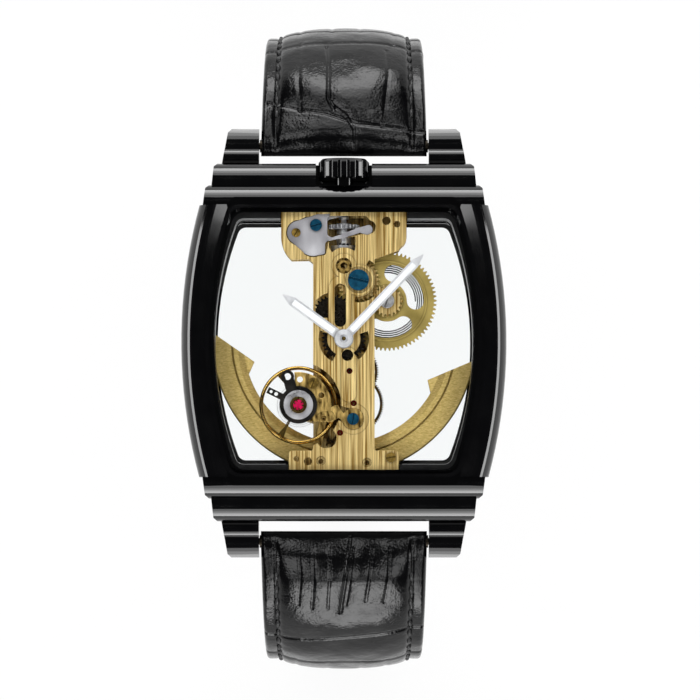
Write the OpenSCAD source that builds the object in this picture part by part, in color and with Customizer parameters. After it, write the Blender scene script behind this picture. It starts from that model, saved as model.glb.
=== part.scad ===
// Skeleton wristwatch with a see-through case, a bridge movement and a leather strap.
// +Z is up, the dial faces +Z, 12 o'clock is +Y and 3 o'clock is +X.
// The origin is the middle of the case back's outer face, which rests on the wrist or on a stand.
// The strap is open, and its halves hang down on both sides.

/* [Case] */
// Overall width of the case middle
case_w = 38.1; // [36:0.1:40]
// Radius of the curved case sides in plan
side_r = 61; // [50:1:80]
// Half length of the middle section
mid_y = 15.9; // [15.5:0.1:16.2]
// Half length to the end of the upper step
step_a_y = 18.4; // [18:0.1:18.8]
// Half length to the end of the lower step
step_b_y = 21.05; // [20.8:0.05:21.3]
// Half length to the tips of the lugs
lug_y = 25.3; // [24.8:0.1:25.8]
// Half width of the upper step where it starts
step_a_x = 16.6; // [16.2:0.1:17]
// Half width of the lower step where it starts
step_b_x = 15.85; // [15.5:0.05:16.1]
// Half width of the lugs where they start
lug_x = 14.75; // [14.2:0.05:15.2]
// Amount that each step narrows over its length
step_taper = 0.5; // [0.2:0.1:0.8]
// Amount that the lugs narrow to their tips
lug_taper = 1.2; // [0.6:0.1:1.6]
// Thickness of the bar of metal under the steps
step_floor = 1; // [0.8:0.1:1.4]
// Radius of the rounded top edge of the case side
side_round = 2.4; // [1.8:0.1:2.8]
// Height of the case middle at its sides
side_top = 10.7; // [10.4:0.1:10.9]
// Radius of the arched top of the head, along the strap
arch_r = 140; // [110:5:200]
// Height of the crystal's highest line
head_top = 11.8; // [11.6:0.1:12.2]
// Clear radius of the chamber that the rotor turns in
chamber_r = 15.9; // [15.8:0.05:16.1]

/* [Crystals and rings] */
// Half width of the front crystal
glass_x = 15.6; // [15.4:0.05:15.8]
// Half length of the front crystal
glass_y = 15.5; // [15.3:0.05:15.6]
// Radius of the crystal's curved sides in plan
glass_side_r = 48; // [42:1:60]
// Corner radius of the front crystal
glass_corner = 1.6; // [1.2:0.1:2.2]
// Thickness of the front crystal
glass_t = 1.2; // [1:0.1:1.4]
// Width of the ledge that the crystals rest on
glass_ledge = 0.45; // [0.35:0.05:0.6]
// Width of the bezel outside the crystal
bezel_rim = 0.55; // [0.45:0.05:0.65]
// Half width of the window in the case back
back_x = 14.95; // [14.6:0.05:15.1]
// Half length of the window in the case back
back_y = 13.8; // [13.5:0.05:14]
// Radius of that window's curved sides in plan
back_side_r = 37; // [34:1:42]
// Corner radius of that window
back_corner = 1; // [0.6:0.1:1.6]
// Thickness of the case back
back_t = 1.6; // [1.5:0.05:1.7]
// Thickness of the back crystal
back_glass_t = 0.9; // [0.8:0.05:1]
// Half width of the movement ring's window
ring_x = 15.1; // [15:0.05:15.3]
// Half length of the movement ring's window
ring_y = 14.4; // [14:0.1:14.6]
// Thickness of the gaskets
gasket_t = 0.3; // [0.25:0.05:0.35]

/* [Movement frame] */
// Half width of the long bar
bar_x = 3.6; // [3.4:0.1:3.8]
// Half width of the plate's head
head_x = 7.35; // [7:0.05:7.6]
// Where the head's lower edge meets the bar
head_y = 9.6; // [9.4:0.1:9.9]
// Half width of the plate's foot
foot_x = 6.45; // [6:0.05:6.8]
// Where the foot's upper edge is
foot_y = 12.8; // [12.6:0.1:13]
// Half length of the plates, into the movement ring
plate_y = 15.7; // [15.5:0.05:15.8]
// Thickness of the main plate
plate_t = 0.6; // [0.5:0.05:0.65]
// Thickness of the front bridge
bridge_t = 0.9; // [0.85:0.05:1]
// Gap between moving pieces and what they pass
run_gap = 0.1; // [0.08:0.01:0.12]
// Radial clearance of a pivot in its hole
pivot_gap = 0.02; // [0.015:0.005:0.03]
// Radius of the pivots
pivot_r = 0.12; // [0.1:0.01:0.14]
// Radius of the train's arbors
arbor_r = 0.17; // [0.15:0.01:0.2]
// Radius of the round jewels
jewel_r = 0.5; // [0.4:0.05:0.55]

/* [Train] */
// Place of the hands and the centre wheel
hands_y = 0.28; // [0.2:0.02:0.36]
// Place of the barrel, across
barrel_x = 5.05; // [4.95:0.05:5.15]
// Place of the barrel, along
barrel_y = 4.79; // [4.7:0.05:4.9]
// Teeth of the barrel
barrel_teeth = 70; // [66:1:74]
// Leaves of the centre pinion
centre_leaves = 13; // [12:1:14]
// Teeth of the centre wheel
centre_teeth = 80; // [80:10:80]
// Leaves of the third and fourth pinions
train_leaves = 10; // [10:1:10]
// Place of the third wheel, across
third_x = 0.66; // [0.6:0.02:0.7]
// Place of the third wheel, along
third_y = -3.47; // [-3.5:0.01:-3.44]
// Teeth of the third wheel
third_teeth = 75; // [75:5:75]
// Place of the fourth wheel, across
fourth_x = 1.15; // [1.1:0.01:1.2]
// Place of the fourth wheel, along
fourth_y = -7.25; // [-7.3:0.01:-7.22]
// Teeth of the fourth wheel
fourth_teeth = 80; // [80:8:80]
// Leaves of the escape pinion
escape_leaves = 8; // [8:1:8]
// Place of the escape wheel, across
escape_x = -0.45; // [-0.5:0.01:-0.4]
// Place of the escape wheel, along
escape_y = -10.71; // [-10.76:0.01:-10.66]
// Teeth of the escape wheel
escape_teeth = 15; // [15:1:15]
// Place of the pallet fork, across
pallet_x = -2.39; // [-2.42:0.01:-2.36]
// Place of the pallet fork, along
pallet_y = -9.03; // [-9.06:0.01:-9]
// Place of the balance, across
balance_x = -5.32; // [-5.36:0.01:-5.28]
// Place of the balance, along
balance_y = -7.45; // [-7.5:0.01:-7.4]
// Outer radius of the balance
balance_r = 4.6; // [4.5:0.05:4.65]
// Radial width of the balance rim
rim_w = 0.45; // [0.4:0.05:0.5]
// Turns of the hairspring
hair_turns = 8; // [6:1:9]
// Turns of the mainspring
spring_turns = 6; // [5:1:7]

/* [Winding and setting] */
// Radius of the crown
crown_r = 3; // [2.8:0.05:3.05]
// Length of the crown
crown_l = 2.4; // [2.3:0.05:2.5]
// Flutes round the crown
crown_flutes = 18; // [16:1:22]
// Place of the crown's outer face
crown_y = 21.5; // [21.4:0.05:21.6]
// How far the crown pulls out
crown_pull = 0.8; // [0.6:0.1:0.8]
// Radius of the winding stem
stem_r = 0.45; // [0.4:0.05:0.5]
// Teeth of the winding pinion
pinion_teeth = 16; // [16:2:16]
// Teeth of the transfer wheel
transfer_teeth = 18; // [18:1:18]
// Place of the transfer wheel, along
transfer_y = 8.87; // [8.8:0.01:8.9]
// Leaves on the crown wheel's arbor
crown_leaves = 12; // [12:1:12]
// Place of the crown wheel, across
crown_wheel_x = 1.71; // [1.68:0.01:1.74]
// Place of the crown wheel, along
crown_wheel_y = 7.19; // [7.16:0.01:7.22]
// Teeth of the crown wheel
crown_teeth = 28; // [28:1:28]
// Teeth of the ratchet wheel
ratchet_teeth = 21; // [21:1:21]
// Leaves of the cannon pinion
cannon_leaves = 10; // [10:1:10]
// Teeth of the minute wheel
minute_teeth = 30; // [30:1:30]
// Leaves on the minute wheel
minute_leaves = 8; // [8:1:8]
// Teeth of the hour wheel
hour_teeth = 32; // [32:1:32]
// Place of the minute wheel, across
minute_x = -1.25; // [-1.3:0.01:-1.2]
// Place of the minute wheel, along
minute_y = 3.12; // [3.06:0.01:3.18]

/* [Hands] */
// Length of the hour hand
hour_len = 8.83; // [8.4:0.05:9.2]
// Width of the hour hand
hour_w = 1.12; // [1:0.02:1.2]
// Clockwise angle of the hour hand from 12
hour_angle = 306; // [0:1:360]
// Length of the minute hand
minute_len = 13.5; // [13:0.05:13.8]
// Width of the minute hand
minute_w = 1.05; // [0.95:0.05:1.2]
// Clockwise angle of the minute hand from 12
minute_angle = 43.4; // [0:0.1:360]
// Length of the pointed tip
hand_tip = 1.4; // [1:0.1:1.8]
// Thickness of the hands
hand_t = 0.2; // [0.15:0.05:0.25]

/* [Rotor] */
// Outer radius of the rotor
rotor_r = 15.5; // [15.3:0.05:15.55]
// Inner radius of the rotor's heavy rim
rotor_in = 11.8; // [11.4:0.1:12.2]
// Radius of the groove in the rim
rotor_groove = 13.2; // [13:0.1:13.6]
// Radius where the inner bevel starts
rotor_bevel = 12.55; // [12.3:0.05:12.8]
// Direction that the rotor hangs in
rotor_dir = -96; // [-180:1:180]
// Half angle of the heavy rim
rotor_half = 86; // [80:1:90]
// Radius that the hooked ends reach in to
hook_r = 10.8; // [10.4:0.1:11.2]

/* [Strap] */
// Distance between the lugs
lug_gap = 20; // [19.6:0.1:20.4]
// Clearance of the strap between the lugs, each side
strap_gap = 0.2; // [0.15:0.05:0.3]
// Width of the strap at the buckle
strap_end_w = 17; // [16.5:0.5:18]
// Thickness of the strap along its edges
strap_t = 2.2; // [2:0.1:2.4]
// Extra height of the padding along the middle
pad_h = 1.3; // [1.1:0.1:1.6]
// Length of the 12 o'clock half, without the buckle
strap_12_len = 75; // [74:0.5:76]
// Length of the 6 o'clock half
strap_6_len = 108; // [106:0.5:109]
// How far the 12 o'clock half reaches out, measured at its middle layer
reach_12 = 36.85; // [36.4:0.05:37.2]
// How far the 6 o'clock half reaches out, measured at its middle layer
reach_6 = 36.5; // [36:0.05:37]
// Slope at which the strap leaves the lugs
strap_slope = 15; // [12:1:18]
// Length of the straight stretch under the upper bend
strap_side = 20; // [15:1:25]
// Radius of the slight inward curve of the 12 o'clock half below that
bend_12 = 250; // [200:10:400]
// Radius of the slight inward curve of the 6 o'clock half below that
bend_6 = 170; // [160:10:300]
// Distance of the spring bars from the middle
bar_y = 23.4; // [23.3:0.05:23.5]
// Height of the spring bars over the case back
bar_z = 2; // [1.9:0.05:2.1]
// Radius of the spring bars
spring_bar_r = 0.75; // [0.7:0.05:0.8]
// Radius of the strap's loop round the spring bar
strap_loop_r = 1.25; // [1.2:0.05:1.3]
// Clearance round the spring bar and the buckle bar
loop_gap = 0.05; // [0.04:0.01:0.08]
// Adjusting holes
strap_holes = 6; // [5:1:7]
// Distance between adjusting holes
hole_pitch = 6.5; // [6:0.5:7]

/* [Buckle] */
// Length of the buckle frame
buckle_l = 13.5; // [13:0.5:14]
// Thickness of the buckle frame
buckle_t = 2; // [1.8:0.1:2.2]
// Width of the frame's metal
buckle_w = 1.5; // [1.4:0.1:2]
// Length of the keepers along the strap
keeper_l = 4; // [3.5:0.5:5]
// Thickness of the keepers' leather
keeper_t = 1; // [0.8:0.1:1.2]

/* [Hidden] */
$fn = 64;
e = 0.01;

black = [0.03, 0.03, 0.035];
gold = [0.85, 0.7, 0.35];
steel = [0.75, 0.75, 0.77];
blue = [0.05, 0.22, 0.4];
clear = [0.8, 0.88, 0.92, 0.35];
ruby = [0.7, 0.05, 0.2];
leather = [0.05, 0.05, 0.05];

// Heights over the underside of the case back
z_rotor = 2.2;
z_plate = 4.6;
z_floor = z_plate + plate_t;
z_bridge = 7.4;
z_top = z_bridge + bridge_t;
z_stem = 6.4;
z_hour_hand = 8.9;
z_minute_hand = 9.35;
z_arch = head_top - arch_r;

// Thicknesses of the wheels and their heights, from the main plate upwards
wheel_t = 0.18;
z_third = z_floor + run_gap;
z_escape = z_floor + run_gap;
z_fourth = z_third + 0.45;
z_barrel = z_floor + run_gap;
drum_h = 1;
disc_t = 0.3;
z_disc = z_barrel + drum_h;
z_centre = z_disc + disc_t + 0.15;
z_minute = z_centre + wheel_t + 0.1;
z_ratchet = 7.05;
z_hour = 7.3;
z_transfer = 7.58;
z_rim = 6.7;

// Modules of the gears, from their distances and teeth
function dist(a, b) = norm([b[0] - a[0], b[1] - a[1]]);
function dir(a, b) = atan2(b[1] - a[1], b[0] - a[0]);
hands_c = [0, hands_y];
barrel_c = [barrel_x, barrel_y];
third_c = [third_x, third_y];
fourth_c = [fourth_x, fourth_y];
escape_c = [escape_x, escape_y];
pallet_c = [pallet_x, pallet_y];
balance_c = [balance_x, balance_y];
minute_c = [minute_x, minute_y];
transfer_c = [0, transfer_y];
crown_c = [crown_wheel_x, crown_wheel_y];
m_barrel = 2 * dist(barrel_c, hands_c) / (barrel_teeth + centre_leaves);
m_centre = 2 * dist(hands_c, third_c) / (centre_teeth + train_leaves);
m_third = 2 * dist(third_c, fourth_c) / (third_teeth + train_leaves);
m_fourth = 2 * dist(fourth_c, escape_c) / (fourth_teeth + escape_leaves);
m_transfer = 2 * dist(transfer_c, crown_c) / (transfer_teeth + crown_leaves);
m_crown = 2 * dist(crown_c, barrel_c) / (crown_teeth + ratchet_teeth);
m_minute = 2 * dist(hands_c, minute_c) / (cannon_leaves + minute_teeth);
m_hour = 2 * dist(hands_c, minute_c) / (minute_leaves + hour_teeth);
escape_r = dist(escape_c, pallet_c) * cos(30);
face_r = pinion_teeth * m_transfer / 2;

// Strap layout
rad_12 = (reach_12 - bar_y) / (1 - sin(strap_slope));
rad_6 = (reach_6 - bar_y) / (1 - sin(strap_slope));
top_turn = 90 - strap_slope;
strap_w = lug_gap - 2 * strap_gap;

// Geometry helpers
function arc(c, r, a0, a1, n) = [for (i = [0:n]) let (a = a0 + (a1 - a0) * i / n)
    [c[0] + r * cos(a), c[1] + r * sin(a)]];
// Half angle of a curved side, of radius r, that ends at height h
// Outline with curved sides, straight ends and round corners
function side_x(x, y, r) = x - r + r * cos(asin(y / r));
// The corner arcs are tangent to the curved sides
function window_points(x, y, r, k) = let (a = asin((y - k) / (r - k)), cx = x - r + (r - k) * cos(a),
    b = a + (90 - a) / 6) concat(
    arc([x - r, 0], r, -a, a, 20),
    arc([cx, y - k], k, b, 90, 5),
    arc([-cx, y - k], k, 90, 180 - b, 5),
    arc([r - x, 0], r, 180 - a, 180 + a, 20),
    arc([-cx, k - y], k, 180 + b, 270, 5),
    arc([cx, k - y], k, 270, 360 - b, 5));
module window(x, y, r, k, h) {
    linear_extrude(h) polygon(window_points(x, y, r, k));
}
module at(c, z) { translate([c[0], c[1], z]) children(); }
module xcyl(y, z, r, w) {
    translate([-w / 2, y, z]) rotate([0, 90, 0]) cylinder(r = r, h = w);
}
module ycyl(y, r, l) {
    translate([0, y, z_stem]) rotate([-90, 0, 0]) cylinder(r = r, h = l, $fn = 32);
}
// Bar with round ends from a to b
module slot_bar(a, b, r, h) {
    translate([a[0], a[1], 0]) cylinder(r = r, h = h, $fn = 32);
    translate([b[0], b[1], 0]) cylinder(r = r, h = h, $fn = 32);
    translate([a[0], a[1], 0]) rotate(dir(a, b)) translate([0, -r, 0]) cube([dist(a, b), 2 * r, h]);
}

// Gears. Teeth have a root, a flank and a rounded tip; phase is the angle of one tooth's middle
function tooth(n, m, add, ded, fat, k) = let (p = 360 / n, r = n * m / 2) [
    for (t = [[-0.5, -ded], [-0.33, -ded], [-fat, 0], [-fat * 0.45, add], [fat * 0.45, add], [fat, 0],
        [0.33, -ded]])
        let (a = p * (k + t[0]), q = r + m * t[1]) [q * cos(a), q * sin(a)]];
function gear_points(n, m, fat = 0.22) = [for (k = [0:n - 1]) each tooth(n, m, 0.85, 1.15, fat, k)];
module gear(n, m, h, phase = 0, fat = 0.22) {
    rotate(phase) linear_extrude(h) polygon(gear_points(n, m, fat));
}
// Phase of a gear that meshes with one whose tooth lies at angle `tooth_at`, in direction `way`
function mesh(way, tooth_at, n1, n2) = way + 180 - (tooth_at - way) * n1 / n2 - 180 / n2;
// Ring sector with straight ends
module sector(r0, r1, a0, a1, h) {
    n = max(3, ceil(abs(a1 - a0) / 8));
    linear_extrude(h) polygon(concat(arc([0, 0], r1, a0, a1, n), arc([0, 0], r0, a1, a0, n)));
}
// Openings between the spokes of a wheel
module spokes_cut(r0, r1, count, web, h) {
    for (i = [0:count - 1]) {
        a = 360 / count;
        half0 = a / 2 - asin(web / 2 / r0);
        half1 = a / 2 - asin(web / 2 / r1);
        rotate(i * a) translate([0, 0, -e]) linear_extrude(h + 2 * e) polygon(concat(
            arc([0, 0], r1, -half1, half1, 8), arc([0, 0], r0, half0, -half0, 5)));
    }
}
// Arbor between the plate and the bridge, with a pivot at each end
module arbor(z0, z1, r) {
    translate([0, 0, z0]) cylinder(r = r, h = z1 - z0, $fn = 24);
    translate([0, 0, z0 - 0.4]) cylinder(r = pivot_r, h = z1 - z0 + 0.8, $fn = 24);
}
module slotted_head(r, h, angle) {
    difference() {
        cylinder(r = r, h = h, $fn = 40);
        rotate(angle) translate([-r - e, -r * 0.11, h - 0.18]) cube([2 * r + 2 * e, r * 0.22, 0.3]);
    }
}

// Case
module lens_half(s) {
    u = side_round;
    translate([s * (case_w / 2 - side_r), 0, 0]) rotate_extrude($fn = 360) polygon(concat(
        [[0, step_floor], [side_r - 0.5, step_floor], [side_r, step_floor + 1.6]],
        arc([side_r - u, side_top - u], u, 0, 80, 10),
        [[side_r - u - 1, side_top + 0.25], [0, head_top + 1]]));
}
module lens() {
    intersection() {
        lens_half(1);
        lens_half(-1);
        translate([-case_w, -mid_y, 0]) cube([2 * case_w, 2 * mid_y, head_top]);
        xcyl(0, z_arch, arch_r, 2 * case_w);
    }
}
module plan_band(y0, y1, x0, x1) {
    translate([0, 0, -1]) linear_extrude(14)
        polygon([[-x0, y0], [x0, y0], [x1 + 0.15, y1 - 0.4], [x1 - 0.3, y1],
            [-x1 + 0.3, y1], [-x1 - 0.15, y1 - 0.4]]);
}
// One rounded step across the end of the case
module step(yc, zc, r, x0, x1, y0) {
    intersection() {
        union() {
            xcyl(yc, zc, r, case_w);
            translate([-case_w / 2, y0, step_floor]) cube([case_w, yc + r - y0, zc - step_floor]);
            translate([-case_w / 2, y0, step_floor]) cube([case_w, yc - y0, zc + r - step_floor - 0.15]);
        }
        plan_band(y0, yc + r, x0, x1);
    }
}
step_a_r = 2.25;
step_b_r = 2.2;
// Rounding of the lugs' tops, and how far in from the tip they are highest
lug_r = 3.1;
lug_peak = 2.2;
lug_top = 4.4;
lug_foot = 0.6;
// Small ridge where each lug leaves the case
ridge_y = 22.95;
ridge_r = 1.05;
ridge_z = 4.1;
module case_end() {
    step(step_a_y - step_a_r, 7, step_a_r, step_a_x, step_a_x - step_taper, mid_y - 0.6);
    step(step_b_y - step_b_r, 5.5, step_b_r, step_b_x, step_b_x - step_taper - 0.2, mid_y - 0.6);
    intersection() {
        union() {
            xcyl(lug_y - lug_peak, lug_top - lug_r, lug_r, case_w);
            xcyl(ridge_y - ridge_r, ridge_z, ridge_r, case_w);
            translate([-case_w / 2, step_a_y - 1, lug_foot]) cube([case_w, lug_y - step_a_y + 1, 2.6]);
        }
        plan_band(step_a_y - 1, lug_y, lug_x + 0.3, lug_x - lug_taper);
        union() for (s = [-1, 1])
            translate([s * (lug_gap / 2 + 5), step_a_y + 3, lug_foot + 7]) cube([10, 14, 14], center = true);
    }
}
// Bore for a spring bar's tip, in the inner faces of the two lugs
module bar_holes() {
    for (s = [-1, 1]) translate([0, s * bar_y, bar_z]) rotate([0, 90, 0])
        cylinder(r = 0.45, h = lug_gap + 2.4, center = true, $fn = 32);
}
module case_middle() {
    color(black) difference() {
        union() {
            lens();
            case_end();
            mirror([0, 1, 0]) case_end();
        }
        translate([0, 0, -e]) cylinder(r = chamber_r, h = z_plate + e, $fn = 180);
        translate([0, 0, -e]) window(ring_x, ring_y, back_side_r + 3, back_corner, z_plate + e);
        translate([0, 0, z_plate - 0.2]) window(glass_x + 0.1, glass_y + 0.25, glass_side_r, glass_corner, 8);
        translate([0, 0, 9]) window(glass_x + bezel_rim + 0.02, mid_y + 1, glass_side_r, 0.5, 8);
        translate([-strap_w / 2 - strap_gap, step_b_y - 0.01, -1]) cube([lug_gap, 6, 14]);
        mirror([0, 1, 0]) translate([-strap_w / 2 - strap_gap, step_b_y - 0.01, -1]) cube([lug_gap, 6, 14]);
        translate([-crown_r - 0.3, step_a_y, z_stem - crown_r - 0.2]) cube([2 * crown_r + 0.6, 4, 9]);
        ycyl(14, tube_r, 6);
        bar_holes();
        translate([0, 0, -e]) window(back_x + 1.6, mid_y + 0.25, back_side_r + 3, back_corner, back_t + e);
        for (sx = [-1, 1], sy = [-1, 1]) translate([sx * 13.6, sy * 15.2, -1])
            cylinder(r = 0.42, h = 4, $fn = 24);
    }
}
tube_r = 1.1;
module bezel_solid(x, y, k, z0) {
    intersection() {
        translate([0, 0, z0]) window(x, y, glass_side_r, k, 6);
        xcyl(0, z_arch, arch_r - 0.05, 2 * case_w);
    }
}
module bezel() {
    color(black) difference() {
        bezel_solid(glass_x + bezel_rim, mid_y, glass_corner + 0.2, 9);
        difference() {
            translate([0, 0, 8]) window(glass_x + 0.03, glass_y + 0.03, glass_side_r, glass_corner, 8);
            xcyl(0, z_arch, arch_r - glass_t - 0.05, 2 * case_w);
        }
        translate([0, 0, 8]) window(glass_x - glass_ledge, glass_y - glass_ledge, glass_side_r,
            glass_corner, 8);
    }
}
module front_crystal() {
    color(clear) difference() {
        intersection() {
            translate([0, 0, 9]) window(glass_x, glass_y, glass_side_r, glass_corner, 6);
            xcyl(0, z_arch, arch_r, 2 * case_w);
        }
        xcyl(0, z_arch, arch_r - glass_t, 2 * case_w);
    }
}
module front_gasket() {
    color(black) difference() {
        translate([0, 0, 9 - gasket_t])
            window(glass_x + 0.05, glass_y + 0.1, glass_side_r, glass_corner, gasket_t);
        translate([0, 0, 8]) window(glass_x - 0.25, glass_y - 0.25, glass_side_r, glass_corner, 2);
    }
}
module movement_ring() {
    color(black) difference() {
        translate([0, 0, z_plate]) window(glass_x + 0.05, glass_y + 0.2, glass_side_r, glass_corner,
            9 - gasket_t - z_plate);
        translate([0, 0, 4]) window(ring_x, ring_y, back_side_r + 3, back_corner, 8);
        translate([-head_x - 0.1, 10, 4]) cube([2 * head_x + 0.2, 8, 8]);
        translate([-foot_x - 0.1, -18, 4]) cube([2 * foot_x + 0.2, 8, 8]);
    }
}
module case_back() {
    color(black) difference() {
        union() {
            window(back_x + 1.55, mid_y + 0.2, back_side_r + 3, back_corner, back_t - 0.4);
            cylinder(r = chamber_r - 0.05, h = back_t, $fn = 180);
        }
        translate([0, 0, -1]) window(back_x, back_y, back_side_r, back_corner, 4);
        translate([0, 0, -1]) window(back_x + glass_ledge + 0.03, back_y + glass_ledge + 0.03, back_side_r,
            back_corner, back_glass_t + gasket_t + 1);
        for (sx = [-1, 1], sy = [-1, 1]) translate([sx * 13.6, sy * 15.2, -1]) {
            cylinder(r = 0.5, h = 4, $fn = 24);
            cylinder(r = 0.95, h = 1.5, $fn = 24);
        }
    }
}
module back_crystal() {
    color(clear)
        window(back_x + glass_ledge, back_y + glass_ledge, back_side_r, back_corner, back_glass_t);
}
module back_gasket() {
    color(black) translate([0, 0, back_glass_t]) difference() {
        window(back_x + glass_ledge, back_y + glass_ledge, back_side_r, back_corner, gasket_t);
        translate([0, 0, -1]) window(back_x, back_y, back_side_r, back_corner, 3);
    }
}
module back_screws() {
    color(steel) for (sx = [-1, 1], sy = [-1, 1]) translate([sx * 13.6, sy * 15.2, 0]) {
        translate([0, 0, 0.5]) mirror([0, 0, 1]) slotted_head(0.9, 0.45, 35 * sx * sy);
        translate([0, 0, 0.4]) cylinder(r = 0.4, h = 2.4, $fn = 24);
    }
}
module crown_tube() {
    color(black) difference() {
        ycyl(15.9, tube_r - 0.01, 3.8);
        ycyl(15, stem_r + 0.05, 6);
    }
}
// Crown, with its flutes and the hollow that goes over the tube
module crown() {
    color(black) difference() {
        union() {
            translate([0, crown_y - crown_l, z_stem]) rotate([-90, 0, 0]) rotate_extrude() polygon([
                [0, 0], [crown_r - 0.35, 0], [crown_r, 0.3], [crown_r, crown_l - 0.45],
                [crown_r - 0.45, crown_l], [0, crown_l]]);
        }
        for (i = [0:crown_flutes - 1]) translate([0, crown_y, z_stem]) rotate([0, i * 360 / crown_flutes, 0])
            translate([crown_r + 0.12, 0.1, 0]) rotate([90, 0, 0])
                cylinder(r = 0.32, h = crown_l + 0.2, $fn = 16);
        ycyl(crown_y - crown_l - 0.1, tube_r + 0.06, 0.9);
        ycyl(crown_y - crown_l - 0.1, stem_r, 1.9);
    }
}

// Keyless works, on the stem's line
clutch_y = 11.4;
face_y = transfer_y + transfer_teeth * m_transfer / 2;
module winding_stem() {
    color(steel) {
        ycyl(14.7, stem_r, crown_y - crown_l + 1.8 - 14.7);
        translate([-0.28, face_y + 0.5, z_stem - 0.28]) cube([0.56, 14.8 - face_y - 0.5, 0.56]);
        ycyl(14.4, stem_r + 0.15, 0.3);
    }
}
module clutch() {
    color(steel) difference() {
        union() {
            ycyl(clutch_y + 0.15, 0.85, 2.4);
            translate([0, clutch_y + 1.85, z_stem]) rotate([-90, 0, 0]) gear(22, 0.155, 0.5);
            for (i = [0:9]) translate([0, clutch_y, z_stem]) rotate([0, i * 36, 0])
                translate([0.5, 0, -0.09]) cube([0.34, 0.2, 0.18]);
        }
        translate([-0.3, clutch_y - 1, z_stem - 0.3]) cube([0.6, 5, 0.6]);
        difference() {
            ycyl(clutch_y + 0.85, 2, 0.4);
            ycyl(clutch_y, 0.6, 3);
        }
    }
}
module winding_pinion() {
    color(steel) difference() {
        union() {
            ycyl(face_y + 0.2, face_r + 0.25, clutch_y - face_y - 0.3);
            for (i = [0:pinion_teeth - 1]) translate([0, face_y, z_stem])
                rotate([0, -90 + (i + 0.5) * 360 / pinion_teeth, 0])
                    translate([face_r - 0.2, -0.14, -0.07]) cube([0.42, 0.4, 0.14]);
        }
        ycyl(face_y - 1, 0.42, 4);
    }
}
module setting_lever() {
    color(steel) difference() {
        union() {
            translate([0, 0, z_bridge - 0.25]) slot_bar([-5.6, 12.75], [-2.3, 14.55], 0.55, 0.2);
            translate([-1.7, 14.95, z_stem + stem_r + 0.2])
                cylinder(r = 0.2, h = z_bridge - z_stem - stem_r - 0.3, $fn = 24);
            translate([0, 0, z_bridge - 0.25]) slot_bar([-2.3, 14.55], [-0.4, 14.95], 0.3, 0.2);
        }
        translate([-5.6, 12.75, 5]) cylinder(r = 0.33, h = 5, $fn = 32);
    }
}
// Steel cover plate with its spring arm, flush in the bridge's pocket
cover_t = 0.3;
module cover_shape() {
    // Outline follows the round left end, the sloping upper edge, the lower lobe and the arm
    cover_points = concat(
        arc([-5.25, 12.75], 1.4, 100, 235, 10),
        arc([-3.6, 11.75], 1.75, 235, 290, 6),
        arc([-2.45, 10.45], 0.25, 270, 350, 3),
        arc([-1.75, 11.35], 0.45, 180, 100, 4),
        [[0.1, 12.15], [1.9, 12.75]],
        arc([2.75, 13.1], 0.62, 250, 430, 8),
        [[1.6, 13.3], [-0.4, 12.5], [-1.35, 12.2]],
        arc([-1.5, 12.7], 0.45, 260, 180, 4),
        [[-1.95, 14.35], [-1.5, 15], [-3.2, 14.9]]);
    polygon(cover_points);
}
module setting_cover() {
    color(steel) difference() {
        translate([0, 0, z_top - 0.4]) linear_extrude(cover_t) cover_shape();
        translate([-5.6, 12.75, 5]) cylinder(r = 0.53, h = 5, $fn = 32);
        translate([-3.27, 13.63, 5]) cylinder(r = 0.4, h = 5, $fn = 32);
    }
}
module transfer_wheel() {
    color(gold) at(transfer_c, 0) difference() {
        union() {
            translate([0, 0, z_transfer]) gear(transfer_teeth, m_transfer, 0.28, 90);
            translate([0, 0, z_transfer - 0.12]) cylinder(r = 0.75, h = 0.2);
        }
        translate([0, 0, 7]) cylinder(r = 0.4, h = 2);
        for (i = [0:4]) rotate(i * 72) translate([0.85, 0, 7]) cylinder(r = 0.2, h = 2, $fn = 20);
    }
}
transfer_way = dir(transfer_c, crown_c);
crown_way = dir(crown_c, barrel_c);
// Angle of the transfer wheel's tooth nearest to the crown wheel
transfer_near = 90 + round((transfer_way - 90) * transfer_teeth / 360) * 360 / transfer_teeth;
module crown_wheel() {
    color(gold) at(crown_c, 0) difference() {
        union() {
            translate([0, 0, z_ratchet]) gear(crown_teeth, m_crown, 0.28, crown_way);
            translate([0, 0, z_ratchet + e]) gear(crown_leaves, m_transfer, z_transfer + 0.28 - z_ratchet,
                mesh(transfer_way, transfer_near, transfer_teeth, crown_leaves));
        }
        translate([0, 0, 6]) cylinder(r = 0.5, h = 3);
    }
}
module crown_wheel_screw() {
    color(blue) at(crown_c, 0) {
        translate([0, 0, z_top]) slotted_head(1.23, 0.35, -14);
        translate([0, 0, z_ratchet - 0.1]) cylinder(r = 0.47, h = z_top - z_ratchet + 0.2);
        translate([0, 0, z_ratchet - 0.25]) cylinder(r = 0.8, h = 0.2);
    }
}
module ratchet_wheel() {
    color(gold) at(barrel_c, z_ratchet) difference() {
        gear(ratchet_teeth, m_crown, 0.28, mesh(crown_way, crown_way, crown_teeth, ratchet_teeth));
        translate([-0.42, -0.42, -1]) cube([0.84, 0.84, 3]);
    }
}
ratchet_tip = m_crown * (ratchet_teeth / 2 + 0.85);
module click() {
    color(steel) at([2.55, 3.2], z_ratchet) difference() {
        union() {
            cylinder(r = 0.5, h = 0.25, $fn = 32);
            linear_extrude(0.25) polygon([[-0.1, -0.45], [0.45, -0.15], [0.82, 0.62], [0.5, 0.75], [-0.3, 0.3]]);
        }
        translate([0, 0, -1]) cylinder(r = 0.22, h = 3, $fn = 32);
    }
}

// Barrel
barrel_pitch = barrel_teeth * m_barrel / 2;
drum_r = barrel_pitch - 0.45;
window_in = 2.35;
window_out = 4.35;
window_mid = (window_in + window_out) / 2;
window_round = (window_out - window_in) / 2;
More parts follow.
